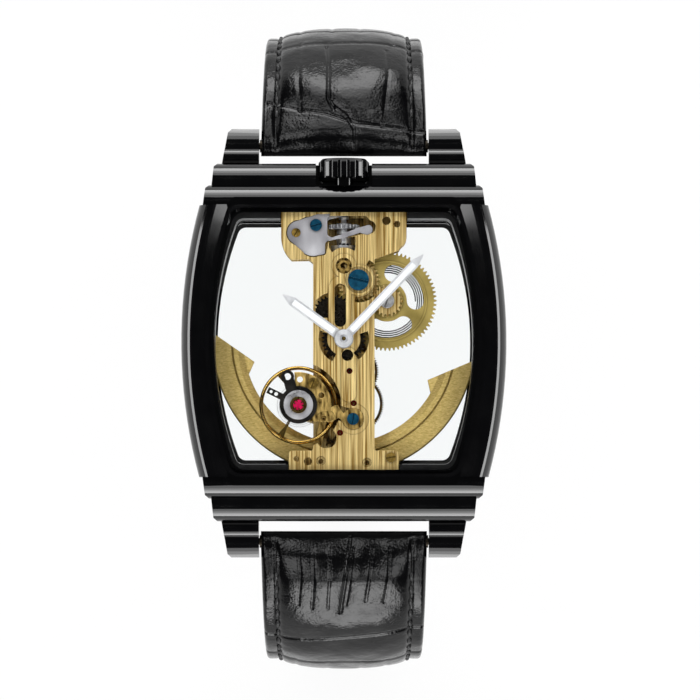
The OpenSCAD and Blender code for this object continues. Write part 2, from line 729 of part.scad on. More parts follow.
// Kidney windows with round ends: each has the angle of its middle and half its spread
module barrel_windows(h) {
    for (w = [[39, 56], [-95, 58]]) rotate(w[0]) {
        flat = w[1] - asin(window_round / window_mid);
        sector(window_in, window_out, -flat, flat, h);
        for (s = [-1, 1]) rotate(s * flat) translate([window_mid, 0, 0])
            cylinder(r = window_round, h = h, $fn = 32);
    }
}
module barrel_drum() {
    color(gold) at(barrel_c, 0) difference() {
        union() {
            translate([0, 0, z_disc]) gear(barrel_teeth, m_barrel, disc_t, dir(barrel_c, hands_c));
            translate([0, 0, z_barrel + 0.2]) cylinder(r = drum_r, h = drum_h, $fn = 120);
            translate([0, 0, z_disc + disc_t]) cylinder(r = 4.75, h = 0.1, $fn = 96);
        }
        translate([0, 0, z_barrel - 1]) cylinder(r = drum_r - 0.3, h = drum_h + 1, $fn = 120);
        translate([0, 0, z_disc + disc_t]) difference() {
            cylinder(r = 4.55, h = 1, $fn = 96);
            translate([0, 0, -1]) cylinder(r = 1.9, h = 3);
        }
        translate([0, 0, z_disc - 1]) barrel_windows(3);
        translate([0, 0, z_barrel - 1]) cylinder(r = 0.72, h = 4);
    }
}
module barrel_lid() {
    color(gold) at(barrel_c, z_barrel) difference() {
        cylinder(r = drum_r, h = 0.2, $fn = 120);
        translate([0, 0, -1]) barrel_windows(3);
        translate([0, 0, -1]) cylinder(r = 0.72, h = 3);
    }
}
// Flat spiral ribbon from radius r0 to r1
function spiral(r0, r1, turns, w, n) = concat(
    [for (i = [0:n]) let (a = 360 * turns * i / n, r = r0 + (r1 - r0) * i / n) [r * cos(a), r * sin(a)]],
    [for (i = [n:-1:0]) let (a = 360 * turns * i / n, r = r0 + w + (r1 - r0) * i / n) [r * cos(a), r * sin(a)]]);
module mainspring() {
    color(steel) at(barrel_c, z_barrel + 0.28)
        linear_extrude(drum_h - 0.4) polygon(spiral(3.3, drum_r - 0.5, spring_turns, 0.14, spring_turns * 30));
}
module barrel_arbor() {
    color(steel) at(barrel_c, 0) {
        translate([0, 0, z_barrel + 0.02]) cylinder(r = 0.69, h = z_ratchet - z_barrel - 0.04);
        translate([0, 0, z_barrel + 0.26]) cylinder(r = 1.15, h = drum_h - 0.32);
        translate([0, 0, z_plate + 0.1]) cylinder(r = 0.5, h = 1);
        translate([-0.4, -0.4, z_ratchet - 0.1]) cube([0.8, 0.8, 0.4]);
        translate([0, 0, z_ratchet + 0.29]) slotted_head(0.85, 0.25, 70);
    }
}

// Plates
foot_c = [1.07, -9.09];
cock_foot_r = 1.25;
lever_c = [-5.6, 12.75];
post_places = [[-6.4, 14.9], [5.9, 12.7], [-5.3, -14.9], [5.3, -14.9]];
train_places = [third_c, fourth_c, escape_c];
module frame_outline() {
    polygon(concat(
        [[bar_x, head_y]],
        [[head_x - 0.9, 10.65]], arc([head_x - 1.3, 12.2], 1.3, -60, 0, 4),
        [[head_x, plate_y], [-head_x, plate_y]],
        arc([-3.9, 12.2], 3.45, 180, 230, 8),
        [[-bar_x - 0.5, head_y], [-bar_x, head_y - 0.4]],
        [[-bar_x, -foot_y + 0.2], [-bar_x - 0.2, -foot_y]],
        arc([-foot_x + 0.4, -foot_y - 0.4], 0.4, 90, 180, 4),
        [[-foot_x, -plate_y], [foot_x, -plate_y]],
        arc([foot_x - 0.4, -foot_y - 0.4], 0.4, 0, 90, 4),
        [[bar_x + 0.2, -foot_y], [bar_x, -foot_y + 0.2]]));
}
module pivot_hole(c, z, h) {
    at(c, z - e) cylinder(r = pivot_r + pivot_gap, h = h + 2 * e, $fn = 24);
}
module main_plate() {
    color(gold) difference() {
        union() {
            translate([0, 0, z_plate]) linear_extrude(plate_t) frame_outline();
            translate([0, 0, z_plate]) slot_bar(barrel_c, [2.6, barrel_y], 2, plate_t);
            translate([0, 0, z_plate]) slot_bar(balance_c, [-3, -8.2], 1.5, plate_t);
            // Tray under the clutch
            translate([-2.7, face_y - 0.8, z_plate - 0.45]) cube([5.4, 15.8 - face_y, 0.45 + e]);
        }
        for (c = concat(train_places, [pallet_c, balance_c]))
            at(c, z_plate - e) cylinder(r = jewel_r + 0.01, h = plate_t + 2 * e, $fn = 40);
        at(hands_c, z_plate - e) cylinder(r = pivot_r + pivot_gap, h = 2, $fn = 24);
        at(barrel_c, z_plate - e) cylinder(r = 0.52, h = 2, $fn = 40);
        translate([-2.3, face_y - 0.4, z_plate - 0.2]) cube([4.6, 15 - face_y, 3]);
        for (c = post_places) at(c, z_plate - e) cylinder(r = 0.3, h = 2, $fn = 24);
    }
}
module bridge_windows() {
    // Slot over the minute wheel, and the window beside it
    translate([0, 0, 7]) slot_bar([-0.42, 6.1], [-0.42, 2.35], 0.67, 3);
    intersection() {
        at(minute_c, 7) cylinder(r = 2.6, h = 3);
        translate([-3.35, 2.75, 6]) cube([1.5, 4, 5]);
    }
    // Ring windows over the hour wheel
    at(hands_c, 7) {
        sector(1.95, 2.95, 160, 243, 3);
        sector(1.95, 2.95, -55, 18, 3);
        cylinder(r = 0.85, h = 3);
    }
    translate([0.42, -1.62, 7]) cylinder(r = 0.68, h = 3, $fn = 40);
    at(transfer_c, 7) cylinder(r = 0.94, h = 3);
    // Window over the escape wheel
    translate([-2.05, -11.35, 7]) cylinder(r = 1.2, h = 3);
    // Open ground round the crown wheel, and round the balance
    at(crown_c, 7) sector(1.95, 2.65, -100, 62, 3);
    at(balance_c, 7) cylinder(r = balance_r + 0.42, h = 3, $fn = 96);
    // Windows over the clutch and the winding pinion
    translate([0, 0, 7]) linear_extrude(3) polygon(concat(
        [[-2.15, 14.75], [-2.15, 12.6]], arc([-1.65, 12.2], 0.45, 180, 250, 4),
        [[0.9, 12.3], [2, 12.55]], arc([2.95, 13.4], 0.8, -60, 80, 6), [[2.6, 14.75]]));
    translate([0, 0, 7]) linear_extrude(3) polygon(concat(
        [[-1.75, 12], [-1.75, 11]], arc([0, transfer_y + 0.2], 1.95, 135, 50, 6), [[1.35, 11], [1.35, 12.3]]));
}
module front_bridge() {
    color(gold) difference() {
        union() {
            translate([0, 0, z_bridge]) linear_extrude(bridge_t) frame_outline();
            // Raised strips, and the rings over the transfer wheel and round the crown wheel's screw
            translate([0, 0, z_bridge]) slot_bar([0.55, -1.62], [0.55, -6.2], 0.9, bridge_t + 0.12);
            translate([0, 0, z_bridge]) slot_bar([-0.42, 6.3], [-0.42, 1.7], 1.3, bridge_t + 0.12);
            at(transfer_c, z_bridge) cylinder(r = 1.4, h = bridge_t + 0.12);
            at(crown_c, z_bridge) cylinder(r = 1.8, h = bridge_t + 0.12);
            at(minute_c, z_minute - 0.05) cylinder(r = 0.2, h = 1, $fn = 24);
        }
        bridge_windows();
        // Pockets of the wheels that run under the bridge
        difference() {
            union() {
                at(hands_c, 7) cylinder(r = m_hour * (hour_teeth / 2 + 1) + 0.15, h = 0.62);
                at(minute_c, 7) cylinder(r = 1, h = 0.62, $fn = 40);
                at(transfer_c, 7) cylinder(r = m_transfer * (transfer_teeth / 2 + 1) + 0.1, h = 0.95);
                at(crown_c, 7) cylinder(r = m_transfer * (crown_leaves / 2 + 1) + 0.1, h = 0.95);
            }
            at(minute_c, 6) cylinder(r = 0.2, h = 3, $fn = 24);
        }
        translate([0, 0, z_stem]) intersection() {
            translate([-face_r - 0.4, face_y - 0.1, -2]) cube([2 * face_r + 0.8, clutch_y - face_y + 0.1, 4]);
            translate([0, 0, -z_stem]) ycyl(face_y - 0.1, face_r + 0.4, 3);
        }
        translate([-2.2, 12.6, 7]) cube([4.4, 2.3, 0.65]);
        at(crown_c, z_top) cylinder(r = 1.55, h = 1);
        // Pocket of the steel cover plate
        translate([0, 0, z_top - 0.42]) linear_extrude(1) cover_shape();
        translate([0, 0, z_top - 0.42]) slot_bar([-5.25, 12.75], [-3.3, 12.5], 1.5, 1);
        translate([0, 0, z_top - 0.42]) slot_bar([-5.25, 12.75], [-3.55, 11.75], 1.5, 1);
        translate([0, 0, z_top - 0.42]) linear_extrude(1) polygon(concat(
            arc([-3.6, 11.75], 1.86, 235, 290, 6), arc([-2.45, 10.45], 0.38, 270, 360, 3),
            [[-1.6, 12.5], [-1.9, 14.8], [-4.5, 14.6], [-5.4, 14.15]]));
        // Seat of the balance cock's foot
        at(foot_c, z_top - 0.7) cylinder(r = cock_foot_r + 0.02, h = 2);
        at(foot_c, z_top - 0.1) cylinder(r = 1.87, h = 2);
        translate([0, 0, z_top - 0.7]) slot_bar([-1.5, -8.15], [0.2, -8.6], 0.85, 2);
        // Jewel seats with an oil sink above each
        for (c = train_places) {
            at(c, z_bridge - e) cylinder(r = jewel_r + 0.01, h = 0.35 + e, $fn = 40);
            at(c, z_bridge) cylinder(r = 0.36, h = 3, $fn = 32);
        }
        for (c = [[-5.55, -13.77, 0.32], [-4.2, -14.06, 0.46], [-2.68, -14.06, 0.3], [2.7, -14.24, 0.3],
            [4.99, 14.16, 0.49], [6.22, 13.75, 0.39]])
            translate([c[0], c[1], 7]) cylinder(r = c[2], h = 3, $fn = 32);
        for (c = [[-2.68, -14], [2.7, -14.2]]) at(c, z_top - 0.2) cylinder(r = 0.55, h = 1, $fn = 32);
        at(lever_c, 7) cylinder(r = 0.33, h = 3, $fn = 32);
        translate([-3.27, 13.63, 7]) cylinder(r = 0.4, h = 3, $fn = 32);
        at(foot_c, 7) cylinder(r = 0.4, h = 3, $fn = 32);
        translate([5.5, -13.6, 7]) cylinder(r = 0.4, h = 3, $fn = 32);
        at(crown_c, 7) cylinder(r = 0.49, h = 3);
    }
}
module bridge_posts() {
    color(gold) for (c = post_places) at(c, 0) {
        translate([0, 0, z_floor]) cylinder(r = 0.6, h = z_bridge - z_floor, $fn = 40);
        translate([0, 0, z_plate]) cylinder(r = 0.29, h = 1, $fn = 24);
    }
}
module bridge_screws() {
    color(blue) {
        translate([-3.27, 13.63, z_top - 0.1]) slotted_head(0.7, 0.25, 15);
        translate([-3.27, 13.63, z_top - 0.8]) cylinder(r = 0.38, h = 0.8, $fn = 24);
        at(foot_c, z_top) slotted_head(0.7, 0.25, 80);
        at(foot_c, z_top - 0.8) cylinder(r = 0.38, h = 0.9, $fn = 24);
    }
    color(steel) {
        at(lever_c, z_top - 0.4) slotted_head(0.52, 0.35, 60);
        at(lever_c, z_bridge - 0.3) cylinder(r = 0.31, h = 0.9, $fn = 24);
        translate([5.5, -13.6, z_top]) slotted_head(0.58, 0.25, 10);
        translate([5.5, -13.6, z_top - 0.8]) cylinder(r = 0.38, h = 0.9, $fn = 24);
        translate([-3.62, -4.93, z_top]) slotted_head(0.64, 0.2, 70);
    }
}
module jewel(c, z, h) {
    at(c, z) difference() {
        cylinder(r = jewel_r, h = h, $fn = 40);
        translate([0, 0, -1]) cylinder(r = pivot_r + pivot_gap, h = h + 2, $fn = 24);
    }
}
// Height of the balance's cap jewel
cap_h = 0.32;
module jewels() {
    color(ruby) {
        for (c = train_places) {
            jewel(c, z_plate, plate_t - 0.05);
            jewel(c, z_bridge, 0.35);
        }
        jewel(pallet_c, z_plate, plate_t - 0.05);
        jewel(balance_c, z_plate, plate_t - 0.05);
        at(balance_c, z_top) cylinder(r = 0.6, h = cap_h, $fn = 40);
    }
}

// Train
module wheel(n, m, z, spokes, rim, hub, phase) {
    r = n * m / 2 - 1.15 * m - rim;
    translate([0, 0, z]) difference() {
        gear(n, m, wheel_t, phase);
        spokes_cut(hub, r, spokes, 0.32, wheel_t);
    }
}
pin_z = z_disc - 0.06;
module centre_wheel() {
    color(gold) at(hands_c, 0) {
        wheel(centre_teeth, m_centre, z_centre, 5, 0.35, 0.8, dir(hands_c, third_c));
        translate([0, 0, z_centre]) cylinder(r = 0.81, h = wheel_t);
        translate([0, 0, pin_z]) gear(centre_leaves, m_barrel, z_centre - pin_z,
            mesh(dir(barrel_c, hands_c), dir(barrel_c, hands_c), barrel_teeth, centre_leaves));
        translate([0, 0, z_floor + 0.05]) cylinder(r = 0.22, h = 9.3 - z_floor, $fn = 24);
        translate([0, 0, z_plate + 0.2]) cylinder(r = pivot_r, h = 1, $fn = 24);
    }
}
module train_wheel(c, n, m, z, spokes, phase, leaves, lm, lz, lh, lphase) {
    at(c, 0) {
        wheel(n, m, z, spokes, 0.28, 0.62, phase);
        translate([0, 0, z]) cylinder(r = 0.63, h = wheel_t);
        translate([0, 0, lz]) gear(leaves, lm, lh, lphase);
        arbor(z_floor + 0.05, z_bridge - 0.05, arbor_r);
    }
}
way_ct = dir(hands_c, third_c);
way_tf = dir(third_c, fourth_c);
way_fe = dir(fourth_c, escape_c);
module third_wheel() {
    color(gold) train_wheel(third_c, third_teeth, m_third, z_third, 5, way_tf, train_leaves,
        m_centre, z_centre - 0.08, 0.34, mesh(way_ct, way_ct, centre_teeth, train_leaves));
}
module fourth_wheel() {
    color(gold) train_wheel(fourth_c, fourth_teeth, m_fourth, z_fourth, 4, way_fe, train_leaves,
        m_third, z_third - 0.04, 0.32, mesh(way_tf, way_tf, third_teeth, train_leaves));
}
function club(n, r) = [for (k = [0:n - 1], t = [[0, 0.77], [0.5, 0.77], [0.88, 0.96], [1.05, 1], [0.97, 0.9]])
    let (a = 360 / n * (k + t[0])) [r * t[1] * cos(a), r * t[1] * sin(a)]];
module escape_wheel() {
    color(steel) at(escape_c, 0) {
        translate([0, 0, z_escape]) difference() {
            rotate(dir(escape_c, pallet_c) - 13.2) linear_extrude(wheel_t) polygon(club(escape_teeth, escape_r));
            spokes_cut(0.5, escape_r * 0.62, 4, 0.25, wheel_t);
        }
        translate([0, 0, z_fourth - 0.06]) gear(escape_leaves, m_fourth, 0.32,
            mesh(way_fe, way_fe, fourth_teeth, escape_leaves));
        arbor(z_floor + 0.05, z_bridge - 0.05, arbor_r);
    }
}
pin_orbit = 0.62;
fork_l = dist(pallet_c, balance_c) - pin_orbit - 0.28;
module pallet_fork() {
    color(steel) at(pallet_c, 0) {
        translate([0, 0, z_escape]) {
            rotate(dir(pallet_c, balance_c)) {
                translate([0, -0.12, 0]) cube([fork_l - 0.3, 0.24, wheel_t]);
                difference() {
                    translate([fork_l - 0.45, -0.32, 0]) cube([0.45, 0.64, wheel_t]);
                    translate([fork_l - 0.25, -0.13, -1]) cube([1, 0.26, 3]);
                }
            }
            // The two stones reach towards the escape wheel and stop clear of its teeth
            for (s = [-1, 1]) rotate(dir(pallet_c, escape_c) + s * 52)
                translate([-0.1, -0.14, 0]) cube([escape_r * 0.52, 0.28, wheel_t]);
            cylinder(r = 0.38, h = wheel_t, $fn = 32);
        }
        arbor(z_floor + 0.05, 5.7, 0.14);
    }
}
module pallet_bridge() {
    foot = [-3.05, -12];
    color(gold) difference() {
        union() {
            translate([0, 0, 5.76]) slot_bar(pallet_c, foot, 0.45, 0.42);
            at(foot, z_floor) cylinder(r = 0.4, h = 0.8, $fn = 32);
        }
        pivot_hole(pallet_c, 5.7, 0.6);
    }
}

// Balance
rim_h = 0.55;
rim_round = 0.2;
module balance_wheel() {
    color(gold) at(balance_c, 0) {
        translate([0, 0, z_rim]) rotate_extrude($fn = 120) polygon(concat(
            [[balance_r - rim_w, 0], [balance_r, 0]],
            arc([balance_r - rim_round, rim_h - rim_round], rim_round, 0, 90, 5),
            arc([balance_r - rim_w + rim_round, rim_h - rim_round], rim_round, 90, 180, 5)));
        for (a = [0, 120, 240]) rotate(a) translate([0, 0, z_rim + 0.15]) linear_extrude(0.16)
            polygon([[0.3, -0.13], [3, -0.17], [balance_r - rim_w + 0.1, -0.42], [balance_r - rim_w + 0.1, 0.42],
                [3, 0.17], [0.3, 0.13]]);
        translate([0, 0, z_rim + 0.1]) cylinder(r = 0.5, h = 0.3, $fn = 40);
        translate([0, 0, 5.3]) cylinder(r = 0.22, h = 2.28, $fn = 24);
        translate([0, 0, z_plate + 0.2]) cylinder(r = pivot_r, h = 3.3, $fn = 24);
        translate([0, 0, z_rim + 0.58]) cylinder(r = 0.42, h = 0.14, $fn = 32);
        // Roller and its impulse pin
        translate([0, 0, 5.9]) cylinder(r = 0.85, h = 0.15, $fn = 40);
        rotate(dir(balance_c, pallet_c)) translate([pin_orbit, 0, 5.32]) cylinder(r = 0.08, h = 0.6, $fn = 24);
    }
}
module hairspring() {
    color(steel) at(balance_c, z_rim + 0.6)
        linear_extrude(0.1) polygon(spiral(0.62, 2.6, hair_turns, 0.05, hair_turns * 30));
}
module cock_shape() {
    polygon(concat(
        arc(balance_c, balance_r - rim_w - 0.3, 97, -4, 16),
        [[-0.75, -7.45]],
        arc(foot_c, cock_foot_r, 150, -165, 20),
        [[-0.6, -8.95], [-1.4, -9.45], [-4.4, -9.35]],
        arc(balance_c, 1.75, 290, 104, 16)));
}
module balance_cock() {
    color(gold) difference() {
        translate([0, 0, z_top - 0.68]) linear_extrude(0.68) cock_shape();
        at(balance_c, 7) cylinder(r = 0.3, h = 3, $fn = 32);
        for (c = [[-5.14, -4.46, 0.35], [-2.62, -6.33, 0.35], [-2.39, -9.03, 0.36]])
            translate([c[0], c[1], 7]) cylinder(r = c[2], h = 3, $fn = 32);
        at(foot_c, 7) cylinder(r = 0.4, h = 3, $fn = 32);
        translate([0, 0, z_top - 0.15]) slot_bar([-2.5, -8.85], [-1.7, -8.75], 0.62, 1);
    }
}
module regulator_index() {
    color(steel) difference() {
        union() {
            at(balance_c, z_top) cylinder(r = 1.72, h = 0.24);
            translate([0, 0, z_top + 0.16]) linear_extrude(0.2) polygon([[-6.6, -6.4], [-7.15, -4.4],
                [-6, -3.85], [-5.35, -5.9]]);
            translate([-6.58, -4.15, z_top + 0.16]) cylinder(r = 0.76, h = 0.2, $fn = 40);
        }
        at(balance_c, 8) cylinder(r = 0.98, h = 2);
        translate([-6.58, -4.15, 7]) cylinder(r = 0.4, h = 3, $fn = 32);
    }
}
module stud_holder() {
    color(steel) difference() {
        union() {
            at(balance_c, z_top) cylinder(r = 2.2, h = 0.14);
            at(balance_c, z_top) rotate(154) translate([1.9, -0.38, 0]) cube([2.1, 0.76, 0.14]);
        }
        at(balance_c, 8) cylinder(r = 1.76, h = 2);
        at(balance_c, 8) rotate(154) {
            translate([2.9, 0, 0]) cylinder(r = 0.22, h = 1, $fn = 24);
            translate([3.55, 0, 0]) cylinder(r = 0.18, h = 1, $fn = 24);
        }
    }
}
// Lyre spring over the balance jewel
module shock_spring() {
    color(gold) at(balance_c, z_top + 0.02) {
        difference() {
            cylinder(r = 0.94, h = cap_h + 0.1, $fn = 48);
            translate([0, 0, -1]) cylinder(r = 0.74, h = 3, $fn = 48);
            rotate(75) translate([0.4, -0.25, -1]) cube([1, 0.5, 3]);
        }
        // Prongs over the edge of the cap jewel
        for (a = [15, 135, 255]) rotate(a) for (s = [-1, 1])
            translate([0.34, s * 0.2 - 0.06, cap_h]) cube([0.5, 0.12, 0.1]);
    }
}

// Motion work
module cannon_pinion() {
    color(steel) at(hands_c, 0) difference() {
        union() {
            translate([0, 0, z_minute - 0.02]) gear(cannon_leaves, m_minute, 0.24,
                mesh(dir(minute_c, hands_c), dir(minute_c, hands_c), minute_teeth, cannon_leaves));
            translate([0, 0, z_minute]) cylinder(r = 0.5, h = z_minute_hand + 0.25 - z_minute, $fn = 40);
        }
        translate([0, 0, 6]) cylinder(r = 0.25, h = 5, $fn = 32);
    }
}
module minute_wheel() {
    color(black) at(minute_c, 0) difference() {
        union() {
            translate([0, 0, z_minute]) gear(minute_teeth, m_minute, wheel_t, dir(minute_c, hands_c));
            translate([0, 0, z_minute]) gear(minute_leaves, m_hour, 0.5, dir(minute_c, hands_c));
        }
        translate([0, 0, 6]) cylinder(r = 0.22, h = 3, $fn = 32);
    }
}
module hour_wheel() {
    color(black) at(hands_c, 0) difference() {
        union() {
            translate([0, 0, z_hour]) gear(hour_teeth, m_hour, wheel_t,
                mesh(dir(minute_c, hands_c), dir(minute_c, hands_c), minute_leaves, hour_teeth));
            translate([0, 0, z_hour]) cylinder(r = 0.8, h = z_hour_hand + hand_t + 0.05 - z_hour, $fn = 40);
        }
        translate([0, 0, 6]) cylinder(r = 0.53, h = 5, $fn = 40);
    }
}

// Hands
module blade(w, len) {
    polygon([[-w / 2, 0.6], [-w / 2, len - hand_tip], [-0.06, len], [0.06, len], [w / 2, len - hand_tip],
        [w / 2, 0.6]]);
}
module lume_shape(w, len, start) {
    translate([-w / 2 + 0.2, start]) square([w - 0.4, len - hand_tip - 0.1 - start]);
}
module hand(w, len, angle, z, hub, bore, start) {
    at(hands_c, z) rotate(-angle) difference() {
        union() {
            linear_extrude(hand_t) blade(w, len);
            cylinder(r = hub, h = hand_t + 0.05, $fn = 48);
        }
        translate([0, 0, -1]) cylinder(r = bore, h = 3, $fn = 40);
        translate([0, 0, -1]) linear_extrude(3) lume_shape(w, len, start);
    }
}
module hour_hand() { color(steel) hand(hour_w, hour_len, hour_angle, z_hour_hand, 1.12, 0.8, 1.4); }
module minute_hand() { color(steel) hand(minute_w, minute_len, minute_angle, z_minute_hand, 1.03, 0.5, 1.25); }
module hour_lume() {
    color("white") at(hands_c, z_hour_hand) rotate(-hour_angle)
        linear_extrude(hand_t + 0.03) lume_shape(hour_w, hour_len, 1.4);
}
module minute_lume() {
    color("white") at(hands_c, z_minute_hand) rotate(-minute_angle)
        linear_extrude(hand_t + 0.03) lume_shape(minute_w, minute_len, 1.25);
}

// Rotor
rotor_t = 1.3;
tip_back = 16.2;
module rotor_weight() {
    color(gold) translate([0, 0, z_rotor]) rotate(rotor_dir) intersection() {
        linear_extrude(rotor_t) polygon(concat(
            arc([0, 0], rotor_r, -rotor_half - 2.4, rotor_half + 2.4, 48),
            [[hook_r * cos(rotor_half + 2.4 - tip_back), hook_r * sin(rotor_half + 2.4 - tip_back)]],
            arc([0, 0], rotor_in, rotor_half - 20, 20 - rotor_half, 36),
            [[hook_r * cos(rotor_half + 2.4 - tip_back), -hook_r * sin(rotor_half + 2.4 - tip_back)]]));
        rotate_extrude($fn = 180) polygon([[hook_r - 0.5, 0], [rotor_r, 0], [rotor_r, rotor_t - 0.15],
            [rotor_r - 0.15, rotor_t], [rotor_groove + 0.12, rotor_t], [rotor_groove, rotor_t - 0.15],
            [rotor_groove - 0.12, rotor_t], [rotor_bevel, rotor_t], [rotor_in, rotor_t - 0.35],
            [hook_r - 0.5, rotor_t - 0.6]]);
    }
}
module rotor_arm() {
    color(gold) translate([0, 0, z_rotor + rotor_t]) difference() {
        union() {
            cylinder(r = 2.2, h = 0.3);
            rotate(rotor_dir) translate([1, -1.6, 0]) cube([rotor_groove - 0.6, 3.2, 0.3]);
        }
        translate([0, 0, -1]) cylinder(r = 0.85, h = 3);
        rotate(rotor_dir) for (s = [-1, 1]) translate([4.5, s * 0.6, -1]) cylinder(r = 0.4, h = 3, $fn = 24);
    }
}
module rotor_bearing() {
    color(steel) {
        translate([0, 0, z_rotor + rotor_t - 0.05]) cylinder(r = 0.8, h = z_plate - z_rotor - rotor_t + 0.05);
        translate([0, 0, z_rotor + rotor_t - 0.35]) cylinder(r = 1.3, h = 0.3);
    }
}

// Strap. s runs along its middle layer from the spring bar; the result is [out, up, slope]
function strap_path(s, rad, bend) = let (t = rad * top_turn * PI / 180,
    out1 = rad * (1 - sin(strap_slope)), up1 = -rad * cos(strap_slope))
    s < t ? let (a = strap_slope + s / rad * 180 / PI)
        [rad * (sin(a) - sin(strap_slope)), rad * (cos(a) - cos(strap_slope)), a]
    : s < t + strap_side ? [out1, up1 - (s - t), 90]
    : let (b = (s - t - strap_side) / bend * 180 / PI)
        [out1 - bend * (1 - cos(b)), up1 - strap_side - bend * sin(b), 90 + b];
function pad_at(s) = pad_h * min(1, s / 6) * max(0, 1 - max(0, s - 24) / 38);
function width_at(s, len, tip) = (strap_w - (strap_w - strap_end_w) * min(1, s / 60))
    * (tip > 0 && s > len - tip ? sqrt(max(0.06, 1 - pow((s - len + tip) / tip, 2))) : 1);
across = [-1, -0.93, -0.75, -0.45, -0.15, 0.15, 0.45, 0.75, 0.93, 1];
function ring(s, rad, bend, len, tip) = let (p = strap_path(s, rad, bend),
    w = width_at(s, len, tip) / 2, n = [sin(p[2]), cos(p[2])]) concat(
    [for (f = across) let (h = strap_t / 2 + pad_at(s) * (1 - pow(abs(f), 3)) - (abs(f) == 1 ? 0.4 : 0))
        [f * w, bar_y + p[0] + h * n[0], p[1] + h * n[1]]],
    [for (f = [1, -1]) [f * w, bar_y + p[0] - strap_t / 2 * n[0], p[1] - strap_t / 2 * n[1]]]);
module strap_body(rad, bend, len, tip, rings) {
    k = len(across) + 2;
    points = [for (i = [0:rings]) each ring(len * i / rings, rad, bend, len, tip)];
    sides = [for (i = [0:rings - 1], j = [0:k - 1]) let (a = i * k + j, b = i * k + (j + 1) % k)
        each [[a, a + k, b + k], [a, b + k, b]]];
    caps = [for (j = [1:k - 2]) each [[0, j, j + 1], [rings * k, rings * k + j + 1, rings * k + j]]];
    translate([0, 0, bar_z]) polyhedron(points, concat(sides, caps));
}
module on_strap(s, rad, bend) {
    p = strap_path(s, rad, bend);
    translate([0, bar_y + p[0], bar_z + p[1]]) rotate([-p[2], 0, 0]) children();
}
// How far the flat part stops short of the loop's middle
loop_inset = 0.35;
module strap_12() {
    color(leather) difference() {
        union() {
            strap_body(rad_12, bend_12, strap_12_len - loop_inset, 0, 36);
            xcyl(bar_y, bar_z, strap_loop_r, strap_w - 0.1);
            on_strap(strap_12_len, rad_12, bend_12) xcyl(0, 0, strap_loop_r, strap_end_w - 0.1);
        }
        xcyl(bar_y, bar_z, spring_bar_r + loop_gap, 30);
        on_strap(strap_12_len, rad_12, bend_12) {
            xcyl(0, 0, buckle_bar_r + loop_gap, 30);
            translate([-tongue_w / 2 - 0.3, -3.5, -5]) cube([tongue_w + 0.6, 8, 10]);
        }
    }
}
module strap_6() {
    color(leather) mirror([0, 1, 0]) difference() {
        union() {
            strap_body(rad_6, bend_6, strap_6_len, 9, 50);
            xcyl(bar_y, bar_z, strap_loop_r, strap_w - 0.1);
        }
        xcyl(bar_y, bar_z, spring_bar_r + loop_gap, 30);
        for (i = [0:strap_holes - 1]) on_strap(strap_6_len - 14 - i * hole_pitch, rad_6, bend_6)
            cylinder(r = 0.95, h = 8, center = true, $fn = 24);
    }
}
module spring_bars() {
    color(steel) for (s = [-1, 1]) {
        xcyl(s * bar_y, bar_z, spring_bar_r, lug_gap - 0.1);
        xcyl(s * bar_y, bar_z, 0.4, lug_gap + 2);
    }
}

// Buckle, drawn along -Y with its outer side down, and turned to hang from the 12 o'clock half
buckle_bar_r = 0.6;
tongue_w = 1.8;
frame_in = strap_end_w / 2 + 0.3;
frame_tilt = 6;
module at_buckle() {
    p = strap_path(strap_12_len, rad_12, bend_12);
    translate([0, bar_y + p[0], bar_z + p[1]]) rotate([90, 0, 0]) children();
}
module buckle_frame() {
    out = frame_in + buckle_w;
    color(black) at_buckle() rotate([-frame_tilt, 0, 0]) difference() {
        union() {
            for (s = [-1, 1]) translate([s * (frame_in + buckle_w / 2), 0, 0])
                xcyl(0, 0, buckle_t / 2, buckle_w);
            translate([0, 0, -buckle_t / 2]) linear_extrude(buckle_t) polygon(concat(
                [[out, 0]], arc([out - 2, -buckle_l + 2], 2, 0, -90, 6),
                arc([2 - out, -buckle_l + 2], 2, -90, -180, 6), [[-out, 0]],
                [[-frame_in, 0]], arc([1 - frame_in, 1 + buckle_w - buckle_l], 1, 180, 270, 5),
                arc([frame_in - 1, 1 + buckle_w - buckle_l], 1, 270, 360, 5), [[frame_in, 0]]));
        }
        xcyl(0, 0, buckle_bar_r + loop_gap, 2 * frame_in + 2);
    }
}
module buckle_tongue() {
    color(black) at_buckle() difference() {
        union() {
            xcyl(0, 0, strap_t / 2 - 0.05, tongue_w);
            translate([-tongue_w / 2, 0, 0]) rotate([90, 0, 90]) linear_extrude(tongue_w) polygon([
                [0, -strap_t / 2 + 0.05], [-buckle_l + 0.5, -0.5], [-buckle_l + 0.1, -0.2],
                [-buckle_l + 0.4, 0.1], [-0.9, -0.4]]);
        }
        xcyl(0, 0, buckle_bar_r + loop_gap, 5);
    }
}
module buckle_bar() {
    color(steel) at_buckle() xcyl(0, 0, buckle_bar_r, 2 * frame_in + 1.9);
}
// Rectangle with round corners, from -x to x and from z0 to z1
module round_box(x, z0, z1, r) {
    polygon(concat(arc([x - r, z1 - r], r, 0, 90, 6), arc([r - x, z1 - r], r, 90, 180, 6),
        arc([r - x, z0 + r], r, 180, 270, 6), arc([x - r, z0 + r], r, 270, 360, 6)));
}
// Inner rounding of the keepers' corners
keeper_round = 0.4;
